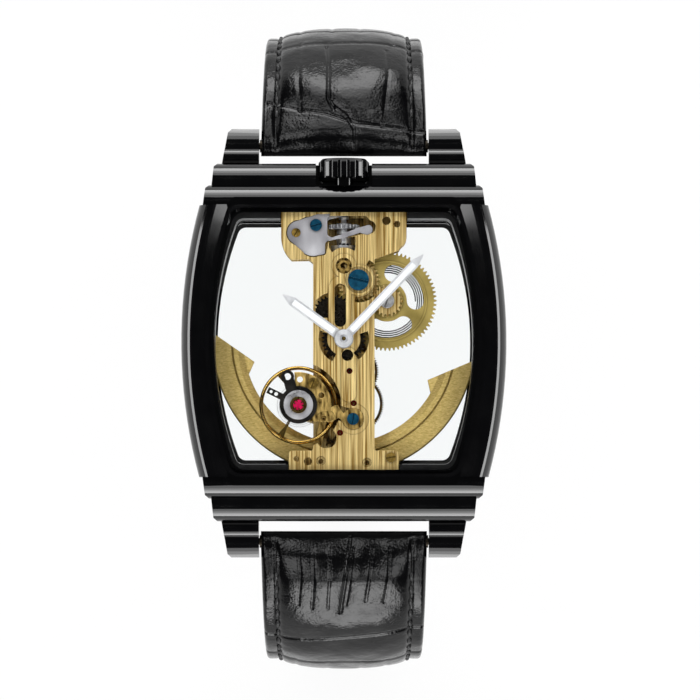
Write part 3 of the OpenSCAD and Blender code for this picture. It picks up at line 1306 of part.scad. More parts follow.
// Loop for the other half: the free room is on the wrist's side
module keeper(s, pad) {
    w = width_at(s, strap_12_len, 0) + 0.6;
    high = strap_t / 2 + pad + 0.15;
    low = -strap_t * 1.5 - 0.6;
    color(leather) on_strap(s, rad_12, bend_12) translate([0, keeper_l / 2, 0]) rotate([90, 0, 0])
        linear_extrude(keeper_l) difference() {
            round_box(w / 2 + keeper_t, low - keeper_t, high + keeper_t, keeper_round + keeper_t);
            round_box(w / 2, low, high, keeper_round);
        }
}
module keeper_fixed() { keeper(63.5, 0.05); }
module keeper_sliding() { keeper(50, pad_at(45)); }

case_middle();
bezel();
front_crystal();
front_gasket();
movement_ring();
case_back();
back_crystal();
back_gasket();
back_screws();
crown_tube();
crown();
winding_stem();
clutch();
winding_pinion();
setting_lever();
setting_cover();
main_plate();
front_bridge();
bridge_screws();
bridge_posts();
jewels();
barrel_drum();
barrel_lid();
mainspring();
barrel_arbor();
ratchet_wheel();
crown_wheel();
crown_wheel_screw();
transfer_wheel();
click();
centre_wheel();
third_wheel();
fourth_wheel();
escape_wheel();
pallet_fork();
pallet_bridge();
balance_wheel();
hairspring();
balance_cock();
regulator_index();
stud_holder();
shock_spring();
cannon_pinion();
minute_wheel();
hour_wheel();
hour_hand();
minute_hand();
hour_lume();
minute_lume();
rotor_weight();
rotor_arm();
rotor_bearing();
strap_12();
strap_6();
spring_bars();
buckle_frame();
buckle_tongue();
buckle_bar();
keeper_fixed();
keeper_sliding();
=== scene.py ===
"""Looks of a skeleton wristwatch: camera, light, floor, materials and the leather of the strap."""

import math
import random
from collections import namedtuple

import bmesh
import bpy
import numpy as np
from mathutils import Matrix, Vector


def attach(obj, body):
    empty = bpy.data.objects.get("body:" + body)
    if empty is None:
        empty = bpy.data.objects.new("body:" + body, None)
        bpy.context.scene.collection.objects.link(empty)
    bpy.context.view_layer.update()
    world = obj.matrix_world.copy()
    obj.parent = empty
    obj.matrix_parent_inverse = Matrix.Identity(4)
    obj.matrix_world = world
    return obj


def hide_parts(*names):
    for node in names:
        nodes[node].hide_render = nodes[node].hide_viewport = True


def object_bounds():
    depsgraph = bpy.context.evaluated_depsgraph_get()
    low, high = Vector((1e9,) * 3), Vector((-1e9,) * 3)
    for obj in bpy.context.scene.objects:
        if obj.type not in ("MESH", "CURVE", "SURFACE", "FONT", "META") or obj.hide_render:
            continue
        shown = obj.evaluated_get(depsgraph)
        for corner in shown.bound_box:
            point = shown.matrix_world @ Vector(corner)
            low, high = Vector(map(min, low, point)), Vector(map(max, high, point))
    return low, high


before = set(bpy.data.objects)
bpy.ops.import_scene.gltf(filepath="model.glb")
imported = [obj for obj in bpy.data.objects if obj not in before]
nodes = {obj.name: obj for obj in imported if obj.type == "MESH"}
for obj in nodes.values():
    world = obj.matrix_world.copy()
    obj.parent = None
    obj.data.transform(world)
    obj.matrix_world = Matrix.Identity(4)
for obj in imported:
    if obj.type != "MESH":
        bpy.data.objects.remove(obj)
cad_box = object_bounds()
MM = 0.001

# Camera. It looks down at the dial from a little on the 6 o'clock side
IMAGE_W = 700
PX_PER_MM = 8.48
DISTANCE = 600
TILT = math.radians(2.3)
AIM = Vector((0.72, -0.85, 4))
SENSOR_W = 36

# Millimetres between the watch's lowest point and the table
FLOOR_GAP = 0.8
# Light and table, in metres. The white share is that of the table near the watch, and it grows to the whole
# between the two distances
WORLD_STRENGTH = 0.05
FLOOR_HALF = 3.0
WALL_H = 0.35
FLOOR_PAINT = (0.85, 0.85, 0.85, 1)
WHITE_SHARE = 0.84
SHADOW_NEAR, SHADOW_FAR = 0.25, 0.7
LAMP_DISTANCE = 1.2

# Strap, in millimetres, with the same sizes as the solids have
STRAP_W = 19.6
STRAP_END_W = 17
STRAP_T = 2.2
PAD_H = 1.3
BAR_Y = 23.4
BAR_Z = 2
SLOPE = math.radians(15)
STRAP_SIDE = 20
LEN_12, LEN_6 = 75, 108
REACH_12, REACH_6 = 36.85, 36.5
BEND_12, BEND_6 = 250, 170
TIP_6 = 9
LOOP_R = 1.25
SLOT_HALF = 1.2
SLOT_L = 3.5
HOLES = 6
HOLE_PITCH = 6.5
HOLE_R = 0.95
FIRST_HOLE = 14
# Seam and rounding of the leather
SEAM_F = 0.82
SEAM_DEPTH = 0.15
SEAM_HALF = 0.3
EDGE_R = 0.5
# Stretch over which the strap tapers, and the least share of its width at the very tip
TAPER_L = 60
LEAST_SHARE = 0.004
# Padding along the strap: it starts before the bar, rises, stays full up to a place and falls
PAD_START, PAD_RISE, PAD_FULL, PAD_FALL = 1.2, 5, 24, 38
# Padding across the strap: a dome, and a brim that drops steeply at the seams
DOME_SHARE, DOME_POWER = 0.66, 2.4
BRIM_SHARE, BRIM_POWER = 0.32, 8
# Each crease is a sharp line in a soft hollow, this many times as wide
SOFT_SHARE, SOFT_WIDTH = 0.4, 7
# Stitches: their pitch, length and thread, where the first begins, room left at the buckle and at the tip,
# slant, rise over the leather, dip at the ends, how far the seam stays inside the tip, and the share by
# which the thread thins at its ends
STITCH_PITCH = 1.75
STITCH_L = 1.25
THREAD_R = 0.23
FIRST_STITCH = 3
BUCKLE_GAP = 7
TIP_GAP = 1.4
STITCH_SLANT = 0.12
STITCH_RISE = 0.16
STITCH_DIP = 1.3
TIP_INSET = 1.6
THREAD_THIN = 0.25
# Rows of scales: where they begin, room left at the end, places across, wave, depth and width of the
# creases between the rows, and the rows' length
ROWS_FROM_12, ROWS_FROM_6 = 14.5, 18
ROW_GAP = 3
ROW_X = (-9.8, -5, 0, 5, 9.8)
ROW_WAVE = 0.5
ROW_DEPTH = (0.16, 0.24)
ROW_WIDTH = 0.3
ROW_STEP = (4.6, 6.4)
# Creases between the scales of a row: places across, shift, lean, depth and width
SCALE_X = (-5.6, -1.9, 1.9, 5.6)
SCALE_SHIFT = 0.5
SCALE_LEAN = 0.4
SCALE_DEPTH = (0.08, 0.16)
SCALE_WIDTH = 0.28
# Mesh of the leather: points across, and the finely divided stretch beside the head
ACROSS = 164
FINE_END = 22
FINE_STEP, COARSE_STEP = 0.12, 0.3
# How far the skin stays inside the solid's ends, and half the height of the hole and slot cutters
SKIN_INSET = 0.02
CUTTER_H = 4
# How far the slot's cutter reaches past the buckle's bar
SLOT_PAST = 3
# Lining's outline as shares of the half width and of half the thickness: a rounded rim, then flat
LINING_RIM = [(1, -0.25), (1, -0.75), (0.985, -0.95)]
LINING_FLAT = [(0.96 - 0.24 * i, -1) for i in range(9)]
# Length over which the leather rounds off where it folds back round a bar
NOSE_L = 2.85

# Materials: depth of the grain in millimetres, the coat, the glass, and samples for edges and hollows
GRAIN_DEPTH = 0.05
COAT_ROUGHNESS = 0.06
GLASS_TINT = (0.985, 0.99, 0.99, 1)
GLASS_IOR = 1.16
GLASS_ROUGHNESS = 0.02
EDGE_SAMPLES = 6
LEATHER_IOR = 1.34
# Movement, in millimetres. Reach of the shade painted into the colour of hollows
HOLLOW = 0.45
# Places in plan of the balance and of two blued screws, and how far their colours reach
BALANCE = (-5.32, -7.45)
BLUE_SCREWS = [(-3.27, 13.63), (1.07, -9.09)]
REGULATOR_R = 1.73
JEWEL_R = 0.6
SCREW_R = 0.8


def rgb(code):
    """Linear colour of a hex colour as a screen shows it."""
    parts = [int(code[i : i + 2], 16) / 255 for i in (0, 2, 4)]
    return tuple(p / 12.92 if p <= 0.04045 else ((p + 0.055) / 1.055) ** 2.4 for p in parts) + (1,)


def add_node(tree, kind, **values):
    """A new shader node. Small names are settings of the node and capital names are inputs."""
    node = tree.nodes.new("ShaderNode" + kind)
    for name, value in values.items():
        if name[0].islower():
            setattr(node, name, value)
        else:
            node.inputs[name.replace("_", " ")].default_value = value
    return node


def calculate(tree, operation, first, second):
    """The output of a maths node that takes a socket and a socket or a number."""
    node = add_node(tree, "Math", operation=operation)
    tree.links.new(first, node.inputs[0])
    if isinstance(second, bpy.types.NodeSocket):
        tree.links.new(second, node.inputs[1])
    else:
        node.inputs[1].default_value = second
    return node.outputs[0]


def mix_shaders(tree, share, first, second):
    """Ends the tree with a mix of two shaders, of which the second has the share."""
    mix = add_node(tree, "MixShader")
    for socket, source in zip(mix.inputs, (share, first.outputs[0], second.outputs[0])):
        tree.links.new(source, socket)
    tree.links.new(mix.outputs[0], add_node(tree, "OutputMaterial").inputs[0])


# Camera, lamps, world and floor
def add_camera():
    """The camera with its lens, at its place over the dial."""
    data = bpy.data.cameras.new("camera")
    data.sensor_width = SENSOR_W
    data.lens = PX_PER_MM * DISTANCE / IMAGE_W * data.sensor_width
    data.clip_start = 0.05
    data.clip_end = 20
    camera = bpy.data.objects.new("camera", data)
    bpy.context.scene.collection.objects.link(camera)
    way = Vector((0, math.sin(TILT), -math.cos(TILT)))
    camera.location = (AIM - way * DISTANCE) * MM
    camera.rotation_euler = way.to_track_quat("-Z", "Y").to_euler()
    bpy.context.scene.camera = camera


def add_lamp(name, azimuth, elevation, width, height, radiance):
    """A softbox that faces the watch. radiance is how bright it looks; azimuth 0 is 12 o'clock."""
    data = bpy.data.lights.new(name, "AREA")
    data.shape = "RECTANGLE"
    data.size = width
    data.size_y = height
    data.energy = radiance * math.pi * width * height
    lamp = bpy.data.objects.new(name, data)
    bpy.context.scene.collection.objects.link(lamp)
    a, e = math.radians(azimuth), math.radians(elevation)
    way = Vector((math.sin(a) * math.cos(e), math.cos(a) * math.cos(e), math.sin(e)))
    lamp.location = way * LAMP_DISTANCE
    lamp.rotation_euler = way.to_track_quat("Z", "Y").to_euler()
    lamp.visible_camera = False


def add_world():
    """A faint, even light from all round."""
    world = bpy.data.worlds.new("studio")
    bpy.context.scene.world = world
    world.use_nodes = True
    back = world.node_tree.nodes["Background"]
    back.inputs["Color"].default_value = rgb("E9EBEE")
    back.inputs["Strength"].default_value = WORLD_STRENGTH


def add_floor():
    """A white table with low walls: it stays white for the camera and keeps the watch's shadow."""
    low = cad_box[0][2] - FLOOR_GAP * MM
    mesh = bpy.data.meshes.new("floor")
    r, high = FLOOR_HALF, low + WALL_H
    corners = [(-r, -r), (r, -r), (r, r), (-r, r)]
    walls = [(i, (i + 1) % 4, (i + 1) % 4 + 4, i + 4) for i in range(4)]
    points = [(x, y, z) for z in (low, high) for x, y in corners]
    mesh.from_pydata(points, [], [(0, 1, 2, 3)] + walls)
    floor = bpy.data.objects.new("floor", mesh)
    bpy.context.scene.collection.objects.link(floor)
    mat = bpy.data.materials.new("floor")
    mat.use_nodes = True
    tree = mat.node_tree
    tree.nodes.clear()
    paint = add_node(tree, "BsdfDiffuse", Color=FLOOR_PAINT)
    white = add_node(tree, "Emission", Strength=1)
    path = add_node(tree, "LightPath").outputs
    seen = calculate(tree, "MAXIMUM", path["Is Camera Ray"], path["Is Glossy Ray"])
    through = calculate(tree, "MAXIMUM", seen, path["Is Transmission Ray"])
    # The paint shows near the watch, where the shadow is, and fades out further away
    place = add_node(tree, "TexCoord")
    away = add_node(tree, "VectorMath", operation="LENGTH")
    fade = add_node(tree, "MapRange", From_Min=SHADOW_NEAR, From_Max=SHADOW_FAR, To_Min=WHITE_SHARE)
    tree.links.new(place.outputs["Object"], away.inputs[0])
    tree.links.new(away.outputs["Value"], fade.inputs["Value"])
    mix_shaders(tree, calculate(tree, "MULTIPLY", through, fade.outputs["Result"]), paint, white)
    mesh.materials.append(mat)


add_camera()
add_world()
add_floor()
# Tall softboxes at 12 and 6 o'clock, brighter towards the floor, low ones at the sides, high ones between
for name, azimuth in (("softbox_12", 0), ("softbox_6", 180)):
    add_lamp(name + "_low", azimuth, 9, 0.6, 0.42, 8)
    add_lamp(name + "_mid", azimuth, 26, 0.6, 0.3, 4.4)
    add_lamp(name + "_high", azimuth, 41, 0.6, 0.32, 2.4)
for name, azimuth in (("softbox_3", 90), ("softbox_9", 270)):
    add_lamp(name, azimuth, 13, 0.7, 0.4, 7)
for azimuth in (40, 140, 220, 320):
    add_lamp(f"softbox_{azimuth}", azimuth, 60, 0.5, 0.45, 4)


# Materials. Patterns are in millimetres, in the frame's own axes
def add_ramp(tree, dark, light, low, high):
    """Two colours, from the first at a low value to the second at a high one."""
    ramp = add_node(tree, "ValToRGB")
    for stop, colour, position in zip(ramp.color_ramp.elements, (dark, light), (low, high)):
        stop.position = position
        stop.color = rgb(colour)
    return ramp


def surface(name, dark, light, rough, stretch, metallic=0.0, bump=0.0, coat=0.0, ior=1.5,
            spread=0.5, edge=0.0):
    """A material whose colour and roughness wander between two values along a stretched noise.

    With an edge, the corners look rounded by that radius, and shade is painted into the colour of the
    hollows.
    """
    mat = bpy.data.materials.new(name)
    mat.use_nodes = True
    tree = mat.node_tree
    link = tree.links.new
    shader = tree.nodes["Principled BSDF"]
    shader.inputs["Metallic"].default_value = metallic
    shader.inputs["IOR"].default_value = ior
    shader.inputs["Coat Weight"].default_value = coat
    shader.inputs["Coat Roughness"].default_value = COAT_ROUGHNESS
    place = add_node(tree, "TexCoord")
    scale = add_node(tree, "Mapping", Scale=[s / MM for s in stretch])
    grain = add_node(tree, "TexNoise", Scale=1, Detail=4)
    ramp = add_ramp(tree, dark, light, 0.5 - spread / 2, 0.5 + spread / 2)
    matt = add_node(tree, "MapRange", From_Min=0.3, From_Max=0.7, To_Min=rough[0], To_Max=rough[1])
    relief = add_node(tree, "Bump", Strength=bump, Distance=GRAIN_DEPTH * MM)
    link(place.outputs["Object"], scale.inputs["Vector"])
    link(scale.outputs["Vector"], grain.inputs["Vector"])
    for socket in (ramp.inputs["Fac"], matt.inputs["Value"], relief.inputs["Height"]):
        link(grain.outputs["Fac"], socket)
    link(ramp.outputs["Color"], shader.inputs["Base Color"])
    link(matt.outputs["Result"], shader.inputs["Roughness"])
    link(relief.outputs["Normal"], shader.inputs["Normal"])
    if edge:
        # Painted shade: ambient occlusion darkens the base colour in hollows
        hollow = add_node(tree, "AmbientOcclusion", samples=EDGE_SAMPLES, Distance=HOLLOW * MM)
        link(ramp.outputs["Color"], hollow.inputs["Color"])
        link(hollow.outputs["Color"], shader.inputs["Base Color"])
        corner = add_node(tree, "Bevel", samples=EDGE_SAMPLES, Radius=edge * MM)
        link(corner.outputs["Normal"], relief.inputs["Normal"])
    return mat


def recolour(mat, places, radius, dark, light):
    """Other colours within a radius, in plan, of some places, for nodes with pieces of two colours."""
    tree = mat.node_tree
    link = tree.links.new
    place = next(n for n in tree.nodes if n.type == "TEX_COORD")
    ramp = next(n for n in tree.nodes if n.type == "VALTORGB")
    target = ramp.outputs["Color"].links[0].to_socket
    ends = [stop.position for stop in ramp.color_ramp.elements]
    other = add_ramp(tree, dark, light, *ends)
    link(ramp.inputs["Fac"].links[0].from_socket, other.inputs["Fac"])
    flat = add_node(tree, "VectorMath", operation="MULTIPLY")
    flat.inputs[1].default_value = (1, 1, 0)
    link(place.outputs["Object"], flat.inputs[0])
    colour = ramp.outputs["Color"]
    for x, y in places:
        away = add_node(tree, "VectorMath", operation="DISTANCE")
        away.inputs[1].default_value = (x * MM, y * MM, 0)
        mix = add_node(tree, "Mix", data_type="RGBA")
        link(flat.outputs["Vector"], away.inputs[0])
        link(calculate(tree, "LESS_THAN", away.outputs["Value"], radius * MM), mix.inputs["Factor"])
        link(colour, mix.inputs["A"])
        link(other.outputs["Color"], mix.inputs["B"])
        colour = mix.outputs["Result"]
    link(colour, target)


def crystal_material(name):
    """Clear glass with an anti-reflective coating: it mirrors little and lets the lamps' light through."""
    mat = bpy.data.materials.new(name)
    mat.use_nodes = True
    tree = mat.node_tree
    tree.nodes.clear()
    clear = add_node(tree, "BsdfTransparent", Color=GLASS_TINT)
    gloss = add_node(tree, "BsdfGlossy", Roughness=GLASS_ROUGHNESS)
    edge = add_node(tree, "Fresnel", IOR=GLASS_IOR)
    # Light leaves the glass without a mirror image, so that the glass stays clear at low angles too
    side = add_node(tree, "NewGeometry")
    enters = calculate(tree, "LESS_THAN", side.outputs["Backfacing"], 0.5)
    mix_shaders(tree, calculate(tree, "MULTIPLY", enters, edge.outputs[0]), clear, gloss)
    return mat


black_metal = surface("black_metal", "020203", "050506", (0.05, 0.09), (0.4, 0.4, 0.4), ior=1.55)
inner_black = surface("inner_black", "030303", "080809", (0.3, 0.45), (2, 2, 2), ior=1.4)
crystal = crystal_material("crystal")
rubber = surface("rubber", "060606", "101010", (0.5, 0.7), (3, 3, 3), bump=0.1)
# Materials with an edge have shade painted into the colour of their hollows
brushed_gold = surface("brushed_gold", "8E6A28", "F2D896", (0.4, 0.55), (6, 0.1, 1),
                       metallic=0.8, bump=0.8, spread=0.3, edge=0.09)
cock_gold = surface("cock_gold", "6E5220", "F0CB7A", (0.25, 0.45), (3, 0.8, 1),
                    metallic=0.9, bump=0.4, spread=0.4, edge=0.09)
rotor_gold = surface("rotor_gold", "B0934A", "E8CF88", (0.42, 0.55), (3, 9, 3),
                     metallic=0.8, bump=0.35, edge=0.12)
wheel_gold = surface("wheel_gold", "8A6C30", "D2B067", (0.3, 0.45), (3, 3, 3),
                     metallic=0.9, bump=0.2, edge=0.05)
# Painted shade: a darkened copy of the wheel gold, for the wheels and fork that mirror dark surroundings
painted_shade_gold = surface("painted_shade_gold", "1A1206", "6A4E20", (0.25, 0.4), (3, 3, 3),
                    metallic=0.8, bump=0.2, spread=0.4)
barrel_gold = surface("barrel_gold", "867437", "D2BA6E", (0.35, 0.5), (0.25, 0.25, 1),
                      metallic=0.85, edge=0.08)
polished_gold = surface("polished_gold", "D9A94C", "F5CE7A", (0.1, 0.2), (1, 1, 1), metallic=1.0)
steel = surface("steel", "B4B4B8", "E4E4E6", (0.3, 0.4), (2, 2, 2), metallic=0.85, bump=0.05, edge=0.05)
cover_steel = surface("cover_steel", "9C989E", "DEDCE0", (0.3, 0.42), (0.35, 0.2, 1),
                      metallic=0.85, edge=0.05)
index_steel = surface("index_steel", "0C0B0A", "2C2824", (0.25, 0.35), (0.8, 0.8, 0.8),
                      metallic=0.6, edge=0.06)
recolour(index_steel, [BALANCE], REGULATOR_R, "A8A6AA", "E0DEE2")
dark_steel = surface("dark_steel", "15130F", "3A352E", (0.25, 0.4), (4, 4, 4), metallic=1.0, bump=0.1)
blue_steel = surface("blue_steel", "0E3A50", "1F6080", (0.3, 0.4), (2, 2, 2), metallic=0.9, edge=0.05)
screw_steel = surface("screw_steel", "2A2210", "B89548", (0.3, 0.4), (2, 2, 2), metallic=0.9, edge=0.05)
recolour(screw_steel, BLUE_SCREWS, SCREW_R, "0E3A50", "1F6080")
hand_steel = surface("hand_steel", "C8C8CC", "F4F4F6", (0.3, 0.4), (1, 1, 1), metallic=0.5, edge=0.06)
lume = surface("lume", "F0F0F2", "FAFAFC", (0.5, 0.7), (6, 6, 6), bump=0.1)
ruby = surface("ruby", "3C0A08", "7A1E14", (0.05, 0.12), (2, 2, 2), coat=0.5)
recolour(ruby, [BALANCE], JEWEL_R, "A00A3C", "E0205C")
spring_steel = surface("spring_steel", "3A3A3E", "7C7C80", (0.25, 0.4), (1, 1, 1), metallic=0.8)
keeper_leather = surface("keeper_leather", "0A0A0B", "1A1A1C", (0.3, 0.5), (2.5, 2.5, 2.5), bump=0.6)

LOOKS = {
    black_metal: "case_middle bezel case_back crown buckle_frame buckle_tongue crown_tube",
    inner_black: "movement_ring",
    crystal: "front_crystal back_crystal",
    rubber: "front_gasket back_gasket",
    brushed_gold: "main_plate front_bridge bridge_posts ratchet_wheel crown_wheel",
    cock_gold: "balance_cock pallet_bridge",
    rotor_gold: "rotor_weight rotor_arm",
    wheel_gold: "centre_wheel transfer_wheel barrel_lid",
    painted_shade_gold: "third_wheel fourth_wheel escape_wheel pallet_fork",
    barrel_gold: "barrel_drum",
    polished_gold: "balance_wheel shock_spring",
    steel: "setting_lever winding_stem clutch winding_pinion barrel_arbor click rotor_bearing hairspring "
    "back_screws buckle_bar cannon_pinion",
    cover_steel: "setting_cover",
    index_steel: "regulator_index stud_holder",
    spring_steel: "mainspring",
    dark_steel: "minute_wheel hour_wheel spring_bars",
    blue_steel: "crown_wheel_screw",
    screw_steel: "bridge_screws",
    hand_steel: "hour_hand minute_hand",
    lume: "hour_lume minute_lume",
    ruby: "jewels",
    keeper_leather: "keeper_fixed keeper_sliding",
}
for look, names in LOOKS.items():
    for name in names.split():
        nodes[name].data.materials.clear()
        nodes[name].data.materials.append(look)


# Leather of the strap. s runs from the spring bar along the middle layer, x across, both in millimetres.
# A half has its length, the reach of its first bend, the radius of the leather further down, its side of
# the case, which is 1 at 12 o'clock and -1 at 6 o'clock, the length of its rounded tip or 0, its creases,
# and its roll or hollow beside the case
Half = namedtuple("Half", "length reach bend side tip creases roll")


def strap_run(half, s):
    """Way outwards, way up and slope of the middle layer at each s."""
    r = (half.reach - BAR_Y) / (1 - math.sin(SLOPE))
    turn = r * (math.pi / 2 - SLOPE)
    a = SLOPE + np.minimum(s, turn) / r
    out = r * (np.sin(a) - math.sin(SLOPE))
    up = r * (np.cos(a) - math.cos(SLOPE)) - np.clip(s - turn, 0, STRAP_SIDE)
    b = np.maximum(0, s - turn - STRAP_SIDE) / half.bend
    return out - half.bend * (1 - np.cos(b)), up - half.bend * np.sin(b), a + b


def half_width(half, s, inset=0):
    """Half the width at each s: a taper, and an elliptical tip that an inset moves up the strap."""
    w = (STRAP_W - (STRAP_W - STRAP_END_W) * np.clip(s / TAPER_L, 0, 1)) / 2
    if half.tip:
        past = np.maximum(0, s - half.length + inset + half.tip) / half.tip
        w = w * np.sqrt(np.maximum(LEAST_SHARE, 1 - past**2))
    return w


def nose(half, s):
    """Share of the full thickness: the leather is round where it folds back round a bar."""
    share = np.sqrt(np.maximum(0, 1 - (np.maximum(0, NOSE_L - s - LOOP_R) / NOSE_L) ** 2))
    if not half.tip:
        end = np.maximum(0, s - half.length - LOOP_R + NOSE_L) / NOSE_L
        share = share * np.sqrt(np.maximum(0, 1 - end**2))
    return share


def line_distance(s, x, line):
    """Distance of each (x, s) from a polyline."""
    best = np.full(np.broadcast(s, x).shape, 99.0)
    for (x0, s0), (x1, s1) in zip(line, line[1:]):
        dx, ds = x1 - x0, s1 - s0
        t = np.clip(((x - x0) * dx + (s - s0) * ds) / (dx * dx + ds * ds), 0, 1)
        best = np.minimum(best, np.hypot(x - x0 - t * dx, s - s0 - t * ds))
    return best


def pad_height(s):
    """Height of the padding: it rises beside the case and runs out further down."""
    rise = np.clip((s + PAD_START) / PAD_RISE, 0, 1)
    return PAD_H * rise * (1 - np.clip((s - PAD_FULL) / PAD_FALL, 0, 1))


def leather_height(half, s, x, w):
    """Height over the middle layer: flat margins, a step at the seams, a domed pad and the creases."""
    f = np.abs(x) / w
    dome = np.maximum(0, 1 - (f / SEAM_F) ** DOME_POWER)
    brim = np.maximum(0, 1 - (f / SEAM_F) ** BRIM_POWER) ** 0.5
    h = STRAP_T / 2 + pad_height(s) * (DOME_SHARE * dome + BRIM_SHARE * brim)
    middle, height, spread = half.roll
    h = h + height * np.exp(-(((s - middle) / spread) ** 2)) * np.maximum(0, 1 - f**4)
    edge = np.clip((np.abs(x) - w + EDGE_R) / EDGE_R, 0, 1)
    h = h - EDGE_R * (1 - np.sqrt(1 - edge**2))
    h = h - SEAM_DEPTH * np.exp(-(((f - SEAM_F) * w / SEAM_HALF) ** 2))
    for line, depth, width in half.creases:
        d = line_distance(s, x, line)
        sharp = (1 - SOFT_SHARE) * np.exp(-((d / width) ** 2))
        h = h - depth * (sharp + SOFT_SHARE * np.exp(-((d / width / SOFT_WIDTH) ** 2)))
    return h


# Roll or hollow across each half beside the case: its middle along the strap, height and spread
ROLL_12 = (3.7, -0.42, 2)
ROLL_6 = (3.2, 0.42, 2.6)
# Creases between the scales: points as (across, along), then depth and width
CREASES_12 = [
    ([(-2.1, 13.5), (-1.8, 9), (-1.9, 5.2), (-1.2, 3.9)], 0.3, 0.16),
    ([(-5.2, 3.9), (-2, 3.4), (1.5, 2.2), (4.6, 1.9), (9.4, 1.4)], 0.34, 0.2),
    ([(-1.6, 4.6), (0.2, 3.2), (1.2, 1.6), (1.3, -1)], 0.2, 0.14),
    ([(5.1, 13), (5.3, 8.5), (4.9, 4.6), (4.6, 1.9)], 0.14, 0.2),
    ([(-8.9, 5.1), (-5.2, 3.9)], 0.2, 0.2),
    ([(-5.2, 15), (-5.4, 8), (-5.2, 3.9)], 0.1, 0.25),
]
CREASES_6 = [
    ([(-5.3, 1), (-5.1, 3.2), (-5.4, 7)], 0.14, 0.16),
    ([(-3.6, 0.5), (-3.6, 4), (-3.8, 7.4)], 0.16, 0.16),
    ([(-1.6, 0.5), (-1.7, 4), (-1.9, 7.4)], 0.14, 0.16),
    ([(0.8, -0.8), (0.4, 2.2), (0.1, 4.4), (-0.4, 7.9)], 0.36, 0.18),
    ([(1.1, 0.5), (0.8, 3), (0.2, 7)], 0.16, 0.14),
    ([(3.4, 0.5), (3, 3.6), (2.6, 6.4)], 0.16, 0.16),
    ([(5.4, 0.5), (5.3, 3.4), (4.8, 6.6)], 0.14, 0.16),
    ([(-9.8, 12.8), (-8, 13), (-3.7, 12.3), (2.3, 11.6), (7, 11.3), (9.7, 11.5)], 0.26, 0.2),
]


def scale_rows(start, length, seed):
    """Rows of scales beyond the stretch that has its own creases."""
    draw = random.Random(seed)
    lines = []
    s = start
    while s < length - ROW_GAP:
        wave = [(x, s + draw.uniform(-ROW_WAVE, ROW_WAVE)) for x in ROW_X]
        lines.append((wave, draw.uniform(*ROW_DEPTH), ROW_WIDTH))
        step = draw.uniform(*ROW_STEP)
        for x in SCALE_X:
            x += draw.uniform(-SCALE_SHIFT, SCALE_SHIFT)
            line = [(x, s), (x + draw.uniform(-SCALE_LEAN, SCALE_LEAN), s + step)]
            lines.append((line, draw.uniform(*SCALE_DEPTH), SCALE_WIDTH))
        s += step
    return lines


def leather_material(name, dark, light, rough, cell):
    """Glossy embossed leather: pores and fine wrinkles as relief, and a colour that varies a little."""
    mat = surface(name, dark, light, rough, (0.5, 0.5, 0.5), ior=LEATHER_IOR)
    tree = mat.node_tree
    link = tree.links.new
    place = next(n for n in tree.nodes if n.type == "TEX_COORD")
    shader = tree.nodes["Principled BSDF"]
    pores = add_node(tree, "TexVoronoi", feature="DISTANCE_TO_EDGE", Scale=cell / MM)
    folds = add_node(tree, "TexNoise", Scale=0.9 / MM, Detail=6)
    swell = add_node(tree, "TexNoise", Scale=0.17 / MM, Detail=1)
    normal = None
    # Reliefs from the widest to the finest, each over the one before
    for texture, output, strength, distance in (
        (swell, "Fac", 0.5, 1.2),
        (folds, "Fac", 0.6, 0.12),
        (pores, "Distance", 0.5, 0.05),
    ):
        relief = add_node(tree, "Bump", Strength=strength, Distance=distance * MM)
        link(place.outputs["Object"], texture.inputs["Vector"])
        link(texture.outputs[output], relief.inputs["Height"])
        if normal:
            link(normal, relief.inputs["Normal"])
        normal = relief.outputs["Normal"]
    link(normal, shader.inputs["Normal"])
    return mat


grain_leather = leather_material("grain_leather", "030304", "070708", (0.13, 0.2), 2.6)
lining_leather = leather_material("lining_leather", "141312", "22201E", (0.5, 0.65), 4.5)
thread = surface("thread", "060606", "141416", (0.35, 0.5), (6, 6, 6), bump=0.3)


def new_object(name, points, faces, *materials):
    """A smooth mesh object from points in metres and faces, its faces turned outwards."""
    mesh = bpy.data.meshes.new(name)
    mesh.from_pydata([tuple(p) for p in points], [], faces)
    for material in materials:
        mesh.materials.append(material)
    shape = bmesh.new()
    shape.from_mesh(mesh)
    bmesh.ops.recalc_face_normals(shape, faces=shape.faces)
    shape.to_mesh(mesh)
    shape.free()
    mesh.polygons.foreach_set("use_smooth", [True] * len(mesh.polygons))
    obj = bpy.data.objects.new(name, mesh)
    bpy.context.scene.collection.objects.link(obj)
    return obj


def place_points(half, s, x, h):
    """Points in space, in metres, for arrays of places along, across and over the middle layer."""
    out, up, a = strap_run(half, s)
    y = half.side * (BAR_Y + out + h * np.sin(a))
    z = BAR_Z + up + h * np.cos(a)
    return np.stack(np.broadcast_arrays(x, y, z), axis=-1) * MM


def ring_faces(rings, k, side=-1):
    """Faces of a closed tube of rings that have k points each, with both ends capped."""
    faces = []
    for i in range(rings - 1):
        for j in range(k):
            a, b = i * k + j, i * k + (j + 1) % k
            faces.append((a, b, b + k, a + k) if side < 0 else (a, a + k, b + k, b))
    first = tuple(range(k))
    last = tuple((rings - 1) * k + j for j in range(k))
    faces.append(first[::-1] if side < 0 else first)
    faces.append(last if side < 0 else last[::-1])
    return faces


